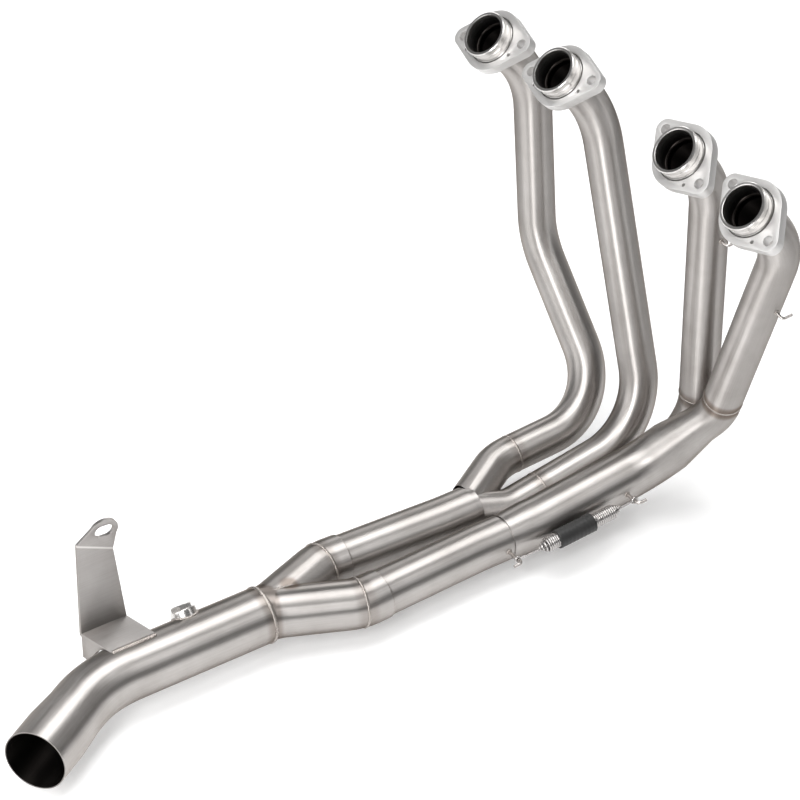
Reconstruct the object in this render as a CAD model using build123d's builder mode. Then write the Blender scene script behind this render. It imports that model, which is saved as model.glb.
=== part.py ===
from build123d import *
import os
from math import cos, radians, sin

# Four-into-two-into-one exhaust header for an in-line four.
# Millimetres. X is the rider's right, Y is forward, Z is up.
# The origin is the middle of the port row, on the engine face of the flanges.

# Ports and flanges
port_tilt = 45.0
inner_port_x = 80.0
outer_port_x = 170.5
inner_port_rise = 3.0
outer_port_rise = -4.0
stud_spacing = 66.0
stud_hole = 8.8
stud_turn = 19.0
flange_thickness = 9.0
flange_hub = 56.0
flange_ear = 18.0
flange_chamfer = 0.8
pin_hole = 3.2
pin_circle = 53.0
pin_turn = 25.0
seat_depth = 5.0
seat_gap = 1.3

# Turned port sleeves
sleeve_wall = 3.1
sleeve_stand = 12.5
sleeve_bore_depth = 16.0
neck_wall = 1.4
neck_step = 2.0
sleeve_neck_length = 12.0
sleeve_chamfer = 0.7
socket_depth = 8.0
fit_gap = 0.1

# Tubes
tube_wall = 1.2
primary_od = 34.0
secondary_od = 40.0
link_od = 48.6
link_end_od = 52.6
link_end_length = 34.0
link_flare_length = 30.0
overlap = 10.0
merge_lead = 16.0
slip_overlap = 16.0
slip_gap = 0.15
slip_shoulder = 2.5

# Bend radii on the centre-line
shoulder_bend = 84.0
primary_bend = 66.0
heel_3_bend = 46.0
knee_4_bend = 38.0
body_bend = 100.0
merge_bend = 40.0
leg_1_bend = 50.0
collector_bend = 48.0
link_bend = 100.0

# Runs under the engine
run_z = -343.5
run_middle_x = 17.5
run_space = 9.0
rear_spread = 5.0
slip_y = -141.0
secondary_end_y = -278.0
ring_y = -365.0
ring_rise = 3.0
body_od = 44.8

# Leads that leave the ports along the port axis, for ports 1 to 4
port_leads = (61.5, 57.5, 46.0, 58.0)

# Bends of the four primaries, measured from the runs under the engine
elbow_1 = (-158.0, 43.0, -210.5)
heel_1_y = 39.0
heel_1_rise = 13.0
tail_1_rise = 6.0
pair_space = 3.5
heel_2_out = 4.5
heel_2_y = 52.0
heel_2_rise = 12.0
turn_2_out = 8.0
turn_2_y = -103.0
turn_2_drop = 10.5
left_join_y = -147.0
heel_3_y = 71.0
heel_3_rise = 24.0
level_3_y = -104.0
leg_3_end_y = -12.0
knee_4_out = 44.5
knee_4_y = 54.5
knee_4_rise = 79.0
joint_4_out = 3.0
joint_4_y = 12.0
joint_4_rise = 16.5
grow_4_start = 20.0
grow_4_end = 56.0
weld_1_y = -66.0
weld_2_y = -70.0
weld_3_back = 52.0
weld_4_back = 20.0

# Link pipe
link_bend_y = -519.5
mouth_point = (75.0, -606.5, -334.5)

# Hanger bracket on the link pipe
sheet = 3.0
foot_top_z = -316.0
foot_reach = 1.5
foot_rear_y = -512.0
foot_front_y = -470.0
foot_skew = 8.0
panel_x = -18.0
fold_rear_y = -510.0
fold_rear_z = -229.0
fold_front_y = -478.0
fold_front_z = -244.0
tab_lean = 12.0
tab_length = 17.5
tab_radius = 12.0
slot_length = 16.0
slot_width = 12.0
web_depth = 24.0
weld_gap = 0.05

# Sensor boss and its plug
boss_space = 42.0
boss_turn = 50.0
boss_od = 22.0
boss_height = 5.0
boss_bore = 16.0
plug_hex = 17.0
plug_head = 4.0
plug_length = 11.0

# Springs that hold the slip joints
spring_turn = 1.0
left_front_turn = -140.0
left_rear_turn = -121.0
left_spring_shift = -54.0
spring_od = 13.5
spring_wire = 1.8
spring_front_y = -48.0
spring_rear_y = -116.0
spring_cone = 8.0
spring_sleeve_wall = 1.5
spring_sleeve_front_y = -69.0
spring_sleeve_rear_y = -106.0
spring_clear = 1.8
hook_wire = 3.0
hook_tip = 8.0
hook_bend = 3.0
hook_front_y = -24.0
hook_rear_y = -146.0
loop_gap = 0.4

# Wire hooks on the two right-hand primaries
tube_hook_wire = 2.5
tube_hook_height = 8.0
tube_hook_tip = 10.0
tube_hook_bend = 3.0
hook_3_drop = 55.0
hook_4_drop = 74.0


def port_axis():
    return Vector(0, -cos(radians(port_tilt)), sin(radians(port_tilt)))


def port_plane(x, rise):
    up_slope = Vector(0, sin(radians(port_tilt)), cos(radians(port_tilt)))
    return Plane(origin=Vector(x, 0, 0) + up_slope * rise, x_dir=(1, 0, 0), z_dir=port_axis())


def turned(plane, degrees):
    turn = radians(degrees)
    x_dir = plane.x_dir * cos(turn) + plane.y_dir * sin(turn)
    return Plane(origin=plane.origin, x_dir=x_dir, z_dir=plane.z_dir)


def bent_rod(route, radii, radius):
    with BuildPart() as rod:
        with BuildLine() as line:
            FilletPolyline(*route, radius=radii)
        path = line.wires()[0]
        with BuildSketch(Plane(origin=path @ 0, z_dir=path % 0)):
            Circle(radius)
        sweep(path=path)
    return rod.part


def straight_rod(start, end, radius):
    start = Vector(start)
    way = Vector(end) - start
    with BuildPart() as rod:
        with BuildSketch(Plane(origin=start, z_dir=way)):
            Circle(radius)
        extrude(amount=way.length)
    return rod.part


def cone_rod(start, end, start_radius, end_radius):
    start = Vector(start)
    way = Vector(end) - start
    plane = Plane(origin=start, z_dir=way)
    with BuildPart() as rod:
        with BuildSketch(plane):
            Circle(start_radius)
        with BuildSketch(plane.offset(way.length)):
            Circle(end_radius)
        loft()
    return rod.part


def toward(start, end, distance):
    start = Vector(start)
    return start + (Vector(end) - start).normalized() * distance


def save(part, name):
    part.label = name
    export_step(part, f"parts/{name}.step")


os.makedirs("parts", exist_ok=True)

sleeve_neck_od = primary_od + 2 * (fit_gap + neck_wall)
sleeve_od = sleeve_neck_od + 2 * neck_step
sleeve_id = sleeve_od - 2 * sleeve_wall
primary_radius = primary_od / 2
tube_bore = primary_radius - tube_wall
secondary_radius = secondary_od / 2
link_radius = link_od / 2
run_pitch = secondary_od + run_space
left_x = run_middle_x - run_pitch / 2
right_x = run_middle_x + run_pitch / 2

ports = (
    port_plane(-outer_port_x, outer_port_rise),
    port_plane(-inner_port_x, inner_port_rise),
    port_plane(inner_port_x, inner_port_rise),
    port_plane(outer_port_x, outer_port_rise),
)

# Flanges: two-stud plates with a counterbored seat for the sleeve
for number, plane in enumerate(ports, start=1):
    turn = stud_turn if number < 3 else -stud_turn
    with BuildPart() as flange:
        with BuildSketch(turned(plane, turn)):
            Circle(flange_hub / 2)
            with Locations((-stud_spacing / 2, 0), (stud_spacing / 2, 0)):
                Circle(flange_ear / 2)
            make_hull()
            with Locations((-stud_spacing / 2, 0), (stud_spacing / 2, 0)):
                Circle(stud_hole / 2, mode=Mode.SUBTRACT)
            with PolarLocations(pin_circle / 2, 2, start_angle=-pin_turn, angular_range=180 + 2 * pin_turn,
                                endpoint=True):
                Circle(pin_hole / 2, mode=Mode.SUBTRACT)
            Circle(sleeve_neck_od / 2 + fit_gap, mode=Mode.SUBTRACT)
        extrude(amount=-flange_thickness)
        with BuildSketch(plane):
            Circle(sleeve_od / 2 + seat_gap)
        extrude(amount=-seat_depth, mode=Mode.SUBTRACT)
        rim = flange.faces().sort_by(Axis(plane.origin, plane.z_dir))[-1].outer_wire()
        chamfer(rim.edges(), flange_chamfer)
    save(flange.part, f"flange_{number}")

# Port sleeves: turned rings that sit in the flange seats and take the primaries
for number, plane in enumerate(ports, start=1):
    profile_plane = Plane(origin=plane.origin, x_dir=plane.x_dir, z_dir=-plane.y_dir)
    neck_end = -seat_depth - sleeve_neck_length
    socket_radius = primary_radius + fit_gap
    with BuildPart() as port_sleeve:
        with BuildSketch(profile_plane):
            with BuildLine():
                Polyline(
                    (sleeve_id / 2 + sleeve_chamfer, sleeve_stand),
                    (sleeve_od / 2 - sleeve_chamfer, sleeve_stand),
                    (sleeve_od / 2, sleeve_stand - sleeve_chamfer),
                    (sleeve_od / 2, -seat_depth),
                    (sleeve_neck_od / 2, -seat_depth),
                    (sleeve_neck_od / 2, neck_end),
                    (socket_radius, neck_end),
                    (socket_radius, neck_end + socket_depth),
                    (tube_bore, neck_end + socket_depth),
                    (tube_bore, sleeve_stand - sleeve_bore_depth),
                    (sleeve_id / 2, sleeve_stand - sleeve_bore_depth),
                    (sleeve_id / 2, sleeve_stand - sleeve_chamfer),
                    close=True,
                )
            make_face()
        revolve(axis=Axis(plane.origin, plane.z_dir))
    save(port_sleeve.part, f"port_sleeve_{number}")

# Routes of the primaries, from the sleeve sockets to their welds
tube_start = seat_depth + sleeve_neck_length - socket_depth
starts = [plane.origin - port_axis() * tube_start for plane in ports]
leads = [plane.origin - port_axis() * lead for plane, lead in zip(ports, port_leads)]

left_slip = Vector(left_x, slip_y, run_z)
right_slip = Vector(right_x, slip_y, run_z)
left_shoulder = Vector(left_x, slip_y + slip_shoulder, run_z)
right_shoulder = Vector(right_x, slip_y + slip_shoulder, run_z)

pair_x = left_x - primary_od - pair_space
heel_1 = Vector(pair_x, heel_1_y, run_z + heel_1_rise)
weld_1 = Vector(pair_x, weld_1_y, run_z + tail_1_rise)
heel_2 = Vector(left_x + heel_2_out, heel_2_y, run_z + heel_2_rise)
turn_2 = Vector(left_x + turn_2_out, turn_2_y, run_z - turn_2_drop)
weld_2 = toward(heel_2, turn_2, heel_2_y - weld_2_y)
heel_3 = Vector(right_x, heel_3_y, run_z + heel_3_rise)
level_3 = Vector(right_x, level_3_y, run_z)
weld_3 = toward(heel_3, leads[2], weld_3_back)
knee_4 = Vector(right_x + knee_4_out, knee_4_y, run_z + knee_4_rise)
weld_4 = toward(knee_4, leads[3], weld_4_back)
joint_4 = Vector(right_x + joint_4_out, joint_4_y, run_z + joint_4_rise)

primary_routes = (
    (starts[0], leads[0], Vector(elbow_1), heel_1, weld_1),
    (starts[1], leads[1], heel_2, weld_2),
    (starts[2], leads[2], weld_3),
    (starts[3], leads[3], weld_4),
)
for number, route in enumerate(primary_routes, start=1):
    bends = [shoulder_bend] + [primary_bend] * (len(route) - 3)
    with BuildPart() as primary:
        add(bent_rod(route, bends, primary_radius))
        add(bent_rod(route, bends, tube_bore), mode=Mode.SUBTRACT)
    save(primary.part, f"primary_tube_{number}")

# Merge collectors: two legs run together and end in a spigot that slips into a secondary tube
spigot_radius = secondary_radius - tube_wall - slip_gap
spigot_bore = spigot_radius - tube_wall
body_radius = body_od / 2
body_bore = body_radius - tube_wall
neck_radius = spigot_radius + tube_wall


def ahead_of(y):
    reach = 2 * outer_port_x
    with BuildPart() as space:
        with Locations((0, y + reach, run_z)):
            Box(2 * reach, 2 * reach, 2 * reach)
    return space.part


def spigot(shoulder, start, radius):
    end = Vector(shoulder.X, slip_y - slip_overlap, shoulder.Z)
    return straight_rod(Vector(shoulder.X, start, shoulder.Z), end, radius)


left_join = Vector(left_x, left_join_y, run_z)
left_inside = toward(left_join, left_slip, -slip_overlap)
leg_1_start = toward(weld_1, heel_1, -weld_gap)
leg_1_turn = toward(weld_1, heel_1, -merge_lead)
leg_2_start = toward(weld_2, heel_2, -weld_gap)
leg_1_route = (leg_1_start, leg_1_turn, left_join, left_inside)
leg_1_bends = [leg_1_bend, leg_1_bend]
leg_2_route = (leg_2_start, turn_2, left_join)
floor_y = left_shoulder.Y + tube_wall
with BuildPart() as left_bore:
    add(bent_rod(leg_1_route, leg_1_bends, tube_bore))
    add(bent_rod(leg_2_route, [merge_bend], tube_bore))
    add(ahead_of(floor_y), mode=Mode.INTERSECT)
    add(spigot(left_shoulder, floor_y + tube_wall, spigot_bore))
with BuildPart() as merge_left:
    add(bent_rod(leg_1_route, leg_1_bends, primary_radius))
    add(bent_rod(leg_2_route, [merge_bend], primary_radius))
    add(ahead_of(left_shoulder.Y), mode=Mode.INTERSECT)
    add(spigot(left_shoulder, floor_y + 2 * tube_wall, spigot_radius))
    add(left_bore.part, mode=Mode.SUBTRACT)
save(merge_left.part, "merge_collector_left")

leg_3_start = toward(weld_3, heel_3, weld_gap)
leg_4_start = toward(weld_4, knee_4, weld_gap)
leg_3_route = (leg_3_start, heel_3, Vector(joint_4.X, leg_3_end_y, joint_4.Z))
grow_start = toward(knee_4, joint_4, grow_4_start)
grow_end = toward(knee_4, joint_4, grow_4_end)
leg_4_route = (leg_4_start, knee_4, grow_start)
body_end = toward(level_3, right_shoulder, overlap)
body_route = (grow_end, joint_4, level_3, body_end)
body_bends = [collector_bend, body_bend]
with BuildPart() as right_bore:
    add(bent_rod(body_route, body_bends, body_bore))
    add(cone_rod(grow_start, grow_end, tube_bore, body_bore))
    add(bent_rod(leg_4_route, [knee_4_bend], tube_bore))
    add(bent_rod(leg_3_route, [heel_3_bend], tube_bore))
    add(cone_rod(body_end, right_shoulder, body_bore, spigot_bore))
    add(spigot(right_shoulder, right_shoulder.Y, spigot_bore))
with BuildPart() as merge_right:
    add(bent_rod(body_route, body_bends, body_radius))
    add(cone_rod(grow_start, grow_end, primary_radius, body_radius))
    add(bent_rod(leg_4_route, [knee_4_bend], primary_radius))
    add(bent_rod(leg_3_route, [heel_3_bend], primary_radius))
    add(cone_rod(body_end, right_shoulder, body_radius, neck_radius))
    add(spigot(right_shoulder, right_shoulder.Y, spigot_radius))
    add(right_bore.part, mode=Mode.SUBTRACT)
save(merge_right.part, "merge_collector_right")

# Secondary tubes: from the spigots of the merge collectors to the final collector
left_rear = Vector(left_x - rear_spread, secondary_end_y, run_z)
right_rear = Vector(right_x + rear_spread, secondary_end_y, run_z)
for name, slip, rear in (("left", left_slip, left_rear), ("right", right_slip, right_rear)):
    route = (slip, Vector(slip.X, slip.Y - slip_overlap - overlap, slip.Z), rear)
    with BuildPart() as secondary:
        add(bent_rod(route, [link_bend], secondary_radius))
        add(bent_rod(route, [link_bend], secondary_radius - tube_wall), mode=Mode.SUBTRACT)
    save(secondary.part, f"secondary_tube_{name}")

# Final collector: two formed legs meet in one outlet
link_z = run_z + ring_rise
ring = Vector(run_middle_x, ring_y, link_z)
collector_bore = secondary_radius + fit_gap
collector_radius = collector_bore + tube_wall
leg_shift = link_radius - collector_radius
throat = Vector(run_middle_x, ring_y + link_radius, link_z)
throat_radius = secondary_radius - tube_wall
collector_routes = []
for slip, rear, side in ((left_slip, left_rear, -1), (right_slip, right_rear, 1)):
    bend = Vector(slip.X, slip.Y - slip_overlap - overlap, slip.Z)
    outlet = Vector(run_middle_x + side * leg_shift, ring_y, link_z)
    outlet_turn = Vector(outlet.X, outlet.Y + overlap, outlet.Z)
    collector_routes.append((toward(rear, bend, overlap), toward(rear, bend, -overlap), outlet_turn, outlet))
collector_bends = [collector_bend, collector_bend]
with BuildPart() as final_collector:
    for route in collector_routes:
        add(bent_rod(route, collector_bends, collector_radius))
    add(cone_rod(throat, ring, throat_radius, link_radius))
    for route in collector_routes:
        add(bent_rod(route, collector_bends, collector_bore), mode=Mode.SUBTRACT)
    add(cone_rod(throat, ring, throat_radius - tube_wall, link_radius - tube_wall), mode=Mode.SUBTRACT)
save(final_collector.part, "final_collector")

# Link pipe: one bend, a sized end for the silencer and a hole under the sensor boss
link_bend_point = Vector(run_middle_x, link_bend_y, link_z)
mouth = Vector(mouth_point)
end_start = toward(mouth, link_bend_point, link_end_length)
flare_start = toward(end_start, link_bend_point, link_flare_length)
link_route = (ring, link_bend_point, flare_start)
end_radius = link_end_od / 2
boss_way = Vector(-cos(radians(boss_turn)), 0, sin(radians(boss_turn)))
boss_foot = Vector(run_middle_x, foot_front_y + boss_space, link_z)
boss_face = boss_foot + boss_way * (link_radius + boss_height)
with BuildPart() as link_pipe:
    add(bent_rod(link_route, [link_bend], link_radius))
    add(cone_rod(flare_start, end_start, link_radius, end_radius))
    add(straight_rod(end_start, mouth, end_radius))
    add(bent_rod(link_route, [link_bend], link_radius - tube_wall), mode=Mode.SUBTRACT)
    add(cone_rod(flare_start, end_start, link_radius - tube_wall, end_radius - tube_wall), mode=Mode.SUBTRACT)
    add(straight_rod(end_start, mouth, end_radius - tube_wall), mode=Mode.SUBTRACT)
    add(straight_rod(boss_foot, boss_face, boss_bore / 2), mode=Mode.SUBTRACT)
save(link_pipe.part, "link_pipe")

# Sensor boss, saddled on the link pipe
link_cope = straight_rod(ring, link_bend_point, link_radius + weld_gap)
with BuildPart() as boss:
    add(straight_rod(boss_foot, boss_face, boss_od / 2))
    add(link_cope, mode=Mode.SUBTRACT)
    add(straight_rod(boss_foot, boss_face, boss_bore / 2), mode=Mode.SUBTRACT)
save(boss.part, "sensor_boss")

# Hexagon plug that closes the boss
plug_plane = Plane(origin=boss_face, z_dir=boss_way)
with BuildPart() as plug:
    with BuildSketch(plug_plane):
        RegularPolygon(plug_hex / 2, 6, major_radius=False)
    extrude(amount=plug_head)
    with BuildSketch(plug_plane):
        Circle(boss_bore / 2 - fit_gap)
    extrude(amount=-plug_length)
save(plug.part, "sensor_plug")

# Hanger bracket: one folded sheet with a foot on the pipe, an upright panel, a leaning tab and a side web
foot_x = run_middle_x - foot_reach
back_x = panel_x - sheet
under_z = foot_top_z - sheet
fold_rear = Vector(panel_x, fold_rear_y, fold_rear_z)
fold_front = Vector(panel_x, fold_front_y, fold_front_z)
fold_middle = (fold_rear + fold_front) * 0.5
fold_way = (fold_front - fold_rear).normalized()
fold_plane = Plane(origin=fold_middle, x_dir=(-1, 0, 0), z_dir=fold_way)
lean_cos = cos(radians(tab_lean))
lean_sin = sin(radians(tab_lean))
lean_mitre = sheet * (1 - lean_cos) / lean_sin
tab_height = tab_length + tab_radius + sheet
panel_height = fold_rear_z - foot_top_z + tab_height
tab_middle = fold_middle + fold_plane.y_dir * (tab_length * lean_cos)
tab_rear = tab_middle - fold_way * tab_radius
tab_front = tab_middle + fold_way * tab_radius
rear_edge = Vector(foot_x - panel_x, foot_skew, 0)
web_across = rear_edge.cross(Vector(0, 0, 1))
web_plane = Plane(origin=(panel_x, foot_rear_y, foot_top_z), x_dir=rear_edge, z_dir=web_across)
with BuildPart() as bracket:
    with BuildSketch(fold_plane):
        with BuildLine():
            Polyline(
                (0, -panel_height),
                (0, 0),
                (-lean_sin * tab_height, lean_cos * tab_height),
                (sheet * lean_cos - lean_sin * tab_height, sheet * lean_sin + lean_cos * tab_height),
                (sheet, lean_mitre),
                (sheet, -panel_height),
                close=True,
            )
        make_face()
    extrude(amount=panel_height, both=True)
    with BuildSketch(Plane.YZ.offset(back_x - tab_height)):
        with BuildLine():
            Polyline(
                (foot_rear_y, under_z),
                (foot_front_y, under_z),
                (foot_front_y, foot_top_z),
                (fold_front.Y, fold_front.Z),
                (tab_front.Y, tab_front.Z),
                (tab_rear.Y, tab_rear.Z),
                (fold_rear.Y, fold_rear.Z),
                (foot_rear_y, foot_top_z),
                close=True,
            )
        make_face()
        with Locations((tab_middle.Y, tab_middle.Z)):
            Circle(tab_radius)
            SlotOverall(slot_length, slot_width, mode=Mode.SUBTRACT)
    extrude(amount=2 * tab_height, mode=Mode.INTERSECT)
    with BuildSketch(Plane.XY.offset(foot_top_z)):
        with BuildLine():
            Polyline(
                (back_x, foot_rear_y),
                (back_x, foot_front_y),
                (panel_x, foot_front_y),
                (foot_x, foot_front_y + foot_skew),
                (foot_x, foot_rear_y + foot_skew),
                (panel_x, foot_rear_y),
                close=True,
            )
        make_face()
    extrude(amount=-sheet)
    with BuildSketch(web_plane):
        with BuildLine():
            Polyline(
                (0, -sheet),
                (0, -web_depth),
                (rear_edge.length, -web_depth),
                (rear_edge.length, -sheet),
                close=True,
            )
        make_face()
    extrude(amount=-sheet)
    add(link_cope, mode=Mode.SUBTRACT)
save(bracket.part, "hanger_bracket")


def run_axis(start, end, y):
    share = (y - start.Y) / (end.Y - start.Y)
    return start + (end - start) * share


def secondary_axis(slip, rear, y):
    bend = Vector(slip.X, slip.Y - slip_overlap - overlap, slip.Z)
    if y > bend.Y:
        return Vector(slip.X, y, slip.Z)
    return run_axis(bend, rear, y)


# Springs, their heat sleeves and their hooks, one set for each slip joint
sleeve_radius = spring_od / 2 + fit_gap + spring_sleeve_wall
loop_radius = hook_wire / 2 + loop_gap + spring_wire / 2
spring_sets = (
    (
        "right", joint_4, level_3, right_slip, right_rear,
        body_radius, body_radius, spring_turn, spring_turn, 0.0,
    ),
    (
        "left", heel_2, turn_2, left_slip, left_rear,
        secondary_radius, primary_radius, left_front_turn, left_rear_turn, left_spring_shift,
    ),
)
for name, heel, level, slip, rear, side_radius, front_radius, front_turn, rear_turn, shift in spring_sets:
    front_out = Vector(cos(radians(front_turn)), 0, sin(radians(front_turn)))
    rear_out = Vector(cos(radians(rear_turn)), 0, sin(radians(rear_turn)))
    stand = side_radius + spring_clear + sleeve_radius
    front_foot = run_axis(heel, level, hook_front_y + shift)
    rear_foot = secondary_axis(slip, rear, hook_rear_y + shift)
    front_loop = front_foot + front_out * stand
    rear_loop = rear_foot + rear_out * stand
    pull = (rear_loop - front_loop).normalized()
    front_tip = run_axis(front_loop, rear_loop, spring_front_y + spring_cone + shift)
    front_full = run_axis(front_loop, rear_loop, spring_front_y + shift)
    rear_full = run_axis(front_loop, rear_loop, spring_rear_y + shift)
    rear_tip = run_axis(front_loop, rear_loop, spring_rear_y - spring_cone + shift)
    core = spring_od / 2 - spring_wire
    with BuildPart() as spring:
        add(straight_rod(front_full, rear_full, spring_od / 2))
        add(cone_rod(front_tip, front_full, spring_wire, spring_od / 2))
        add(cone_rod(rear_full, rear_tip, spring_od / 2, spring_wire))
        add(straight_rod(front_full, rear_full, core), mode=Mode.SUBTRACT)
        for loop, tip, heading, out in (
            (front_loop, front_tip, pull, front_out),
            (rear_loop, rear_tip, -pull, rear_out),
        ):
            add(straight_rod(loop + heading * loop_radius, tip + heading * spring_wire, spring_wire / 2))
            eye_start = loop + heading * loop_radius
            with BuildSketch(Plane(origin=eye_start, x_dir=heading, z_dir=heading.cross(out))):
                Circle(spring_wire / 2)
            revolve(axis=Axis(loop, out))
    save(spring.part, f"spring_{name}")
    sleeve_front = run_axis(front_loop, rear_loop, spring_sleeve_front_y + shift)
    sleeve_rear = run_axis(front_loop, rear_loop, spring_sleeve_rear_y + shift)
    with BuildPart() as sleeve:
        add(straight_rod(sleeve_front, sleeve_rear, sleeve_radius))
        add(straight_rod(sleeve_front, sleeve_rear, spring_od / 2 + fit_gap), mode=Mode.SUBTRACT)
    save(sleeve.part, f"spring_sleeve_{name}")
    front_way = (level - heel).normalized()
    rear_way = (rear - rear_foot).normalized()
    for end, foot, loop, out, reach, heading, axis_way in (
        ("front", front_foot, front_loop, front_out, front_radius, -pull, front_way),
        ("rear", rear_foot, rear_loop, rear_out, secondary_radius, pull, rear_way),
    ):
        base = foot + out * (reach - hook_wire)
        corner = loop + out * (loop_radius + hook_bend)
        cope = straight_rod(foot - axis_way * hook_tip, foot + axis_way * hook_tip, reach + weld_gap)
        with BuildPart() as hook:
            add(bent_rod((base, corner, corner + heading * hook_tip), [hook_bend], hook_wire / 2))
            add(cope, mode=Mode.SUBTRACT)
        save(hook.part, f"spring_hook_{name}_{end}")

# Wire hooks welded on the outer side of primaries 3 and 4
for number, top, bottom, drop in ((3, leads[2], heel_3, hook_3_drop), (4, leads[3], knee_4, hook_4_drop)):
    along = (bottom - top).normalized()
    out = (Vector(1, 0, 0) - along * along.X).normalized()
    side = along.cross(out)
    middle = top + along * drop
    base = middle + out * (primary_radius - tube_wall)
    crest = middle + out * (primary_radius + tube_hook_height)
    tip = crest + side * (tube_hook_tip if side.Y > 0 else -tube_hook_tip)
    cope_reach = along * tube_hook_tip
    cope = straight_rod(middle - cope_reach, middle + cope_reach, primary_radius + weld_gap)
    with BuildPart() as tube_hook:
        add(bent_rod((base, crest, tip), [tube_hook_bend], tube_hook_wire / 2))
        add(cope, mode=Mode.SUBTRACT)
    save(tube_hook.part, f"tube_hook_{number}")
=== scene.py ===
from math import cos, hypot, pi, radians, sin, sqrt

import bmesh
import bpy
from mathutils import Matrix, Vector
from mathutils.geometry import convex_hull_2d


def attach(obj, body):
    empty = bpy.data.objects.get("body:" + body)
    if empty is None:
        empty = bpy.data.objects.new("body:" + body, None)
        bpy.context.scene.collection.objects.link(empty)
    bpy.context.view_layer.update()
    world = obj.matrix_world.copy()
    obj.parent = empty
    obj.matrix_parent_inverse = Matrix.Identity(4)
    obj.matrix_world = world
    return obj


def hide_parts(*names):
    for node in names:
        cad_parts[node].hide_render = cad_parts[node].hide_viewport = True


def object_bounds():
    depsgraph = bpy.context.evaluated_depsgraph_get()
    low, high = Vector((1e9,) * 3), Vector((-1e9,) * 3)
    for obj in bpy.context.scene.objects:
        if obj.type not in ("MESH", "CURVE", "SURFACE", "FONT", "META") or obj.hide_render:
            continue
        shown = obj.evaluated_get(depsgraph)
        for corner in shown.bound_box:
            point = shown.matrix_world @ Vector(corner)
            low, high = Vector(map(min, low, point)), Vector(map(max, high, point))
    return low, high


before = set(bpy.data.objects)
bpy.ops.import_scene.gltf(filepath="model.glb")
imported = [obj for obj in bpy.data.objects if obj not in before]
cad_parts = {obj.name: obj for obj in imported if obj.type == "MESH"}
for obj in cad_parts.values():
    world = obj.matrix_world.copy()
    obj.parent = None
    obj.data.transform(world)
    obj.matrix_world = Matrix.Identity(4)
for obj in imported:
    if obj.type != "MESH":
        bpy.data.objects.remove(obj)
cad_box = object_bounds()


# Port flanges. Four stainless plates, 9 mm thick, cut to a two-stud outline
# with a counterbored seat for the port sleeve. They are blasted to a pale,
# even grain, and their edges are broken by hand.
MM = 0.001
# Each port has a place across the bike, a rise up the slope and a turn in degrees.
PORTS = {1: (-170.5, -4.0, 19.0), 2: (-80.0, 3.0, 19.0), 3: (80.0, 3.0, -19.0), 4: (170.5, -4.0, -19.0)}
PORT_TILT = radians(45)
PORT_AXIS = Vector((0, -cos(PORT_TILT), sin(PORT_TILT)))
UP_SLOPE = Vector((0, sin(PORT_TILT), cos(PORT_TILT)))
FLANGE_THICK = 9.0
HUB_RADIUS = 28.0
LUG_RADIUS = 9.0
STUD_REACH = 33.0
STUD_HOLE_RADIUS = 4.4
PIN_REACH = 26.5
PIN_ANGLES = (-25.0, 205.0)
PIN_HOLE_RADIUS = 1.6
FLANGE_BORE_RADIUS = 18.6
SEAT_RADIUS = 21.8
SEAT_DEPTH = 5.0
EDGE_BREAK = 0.7
CUTTER_REACH = 20.0


def port_place(number, turned):
    x, rise, turn = PORTS[number]
    turn = radians(turn) if turned else 0.0
    across = Vector((cos(turn), 0, 0)) + UP_SLOPE * sin(turn)
    place = Matrix((across, PORT_AXIS.cross(across), PORT_AXIS)).transposed().to_4x4()
    place.translation = (Vector((x, 0, 0)) + UP_SLOPE * rise) * MM
    return place @ Matrix.Scale(MM, 4)


def circle_points(x, y, radius, steps):
    turns = [2 * pi * i / steps for i in range(steps)]
    return [(x + radius * cos(turn), y + radius * sin(turn)) for turn in turns]


def slab(name, outline, low, high):
    shape = bmesh.new()
    top = shape.faces.new([shape.verts.new((x, y, high)) for x, y in outline])
    drop = bmesh.ops.extrude_face_region(shape, geom=[top])
    moved = [v for v in drop["geom"] if isinstance(v, bmesh.types.BMVert)]
    bmesh.ops.translate(shape, verts=moved, vec=(0, 0, low - high))
    bmesh.ops.recalc_face_normals(shape, faces=shape.faces)
    mesh = bpy.data.meshes.new(name)
    shape.to_mesh(mesh)
    shape.free()
    return mesh


def loose_object(name, mesh):
    made = bpy.data.objects.new(name, mesh)
    bpy.context.scene.collection.objects.link(made)
    return made


def settle(made):
    mesh = bpy.data.meshes.new_from_object(made.evaluated_get(bpy.context.evaluated_depsgraph_get()))
    bpy.data.objects.remove(made)
    return mesh


def soften(mesh, angle):
    mesh.polygons.foreach_set("use_smooth", [True] * len(mesh.polygons))
    mesh.set_sharp_from_angle(angle=radians(angle))
    return mesh


def fit_piece(name, mesh, finish, slot, *nodes):
    mesh.name = name
    mesh.materials.clear()
    mesh.materials.append(finish)
    piece = loose_object(name, mesh)
    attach(piece, "root")
    if nodes:
        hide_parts(*nodes)
    return piece


def put(tree, kind, values=None, **settings):
    made = tree.nodes.new(kind)
    for key, value in settings.items():
        setattr(made, key, value)
    for key, value in (values or {}).items():
        made.inputs[key].default_value = value
    return made


def new_group(name, kind, inputs, outputs):
    tree = bpy.data.node_groups.new(name, kind)
    for label, socket, value in inputs:
        made = tree.interface.new_socket(label, in_out="INPUT", socket_type=socket)
        if value is not None:
            made.default_value = value
    for label, socket in outputs:
        tree.interface.new_socket(label, in_out="OUTPUT", socket_type=socket)
    return tree, tree.nodes.new("NodeGroupInput"), tree.nodes.new("NodeGroupOutput")


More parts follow.
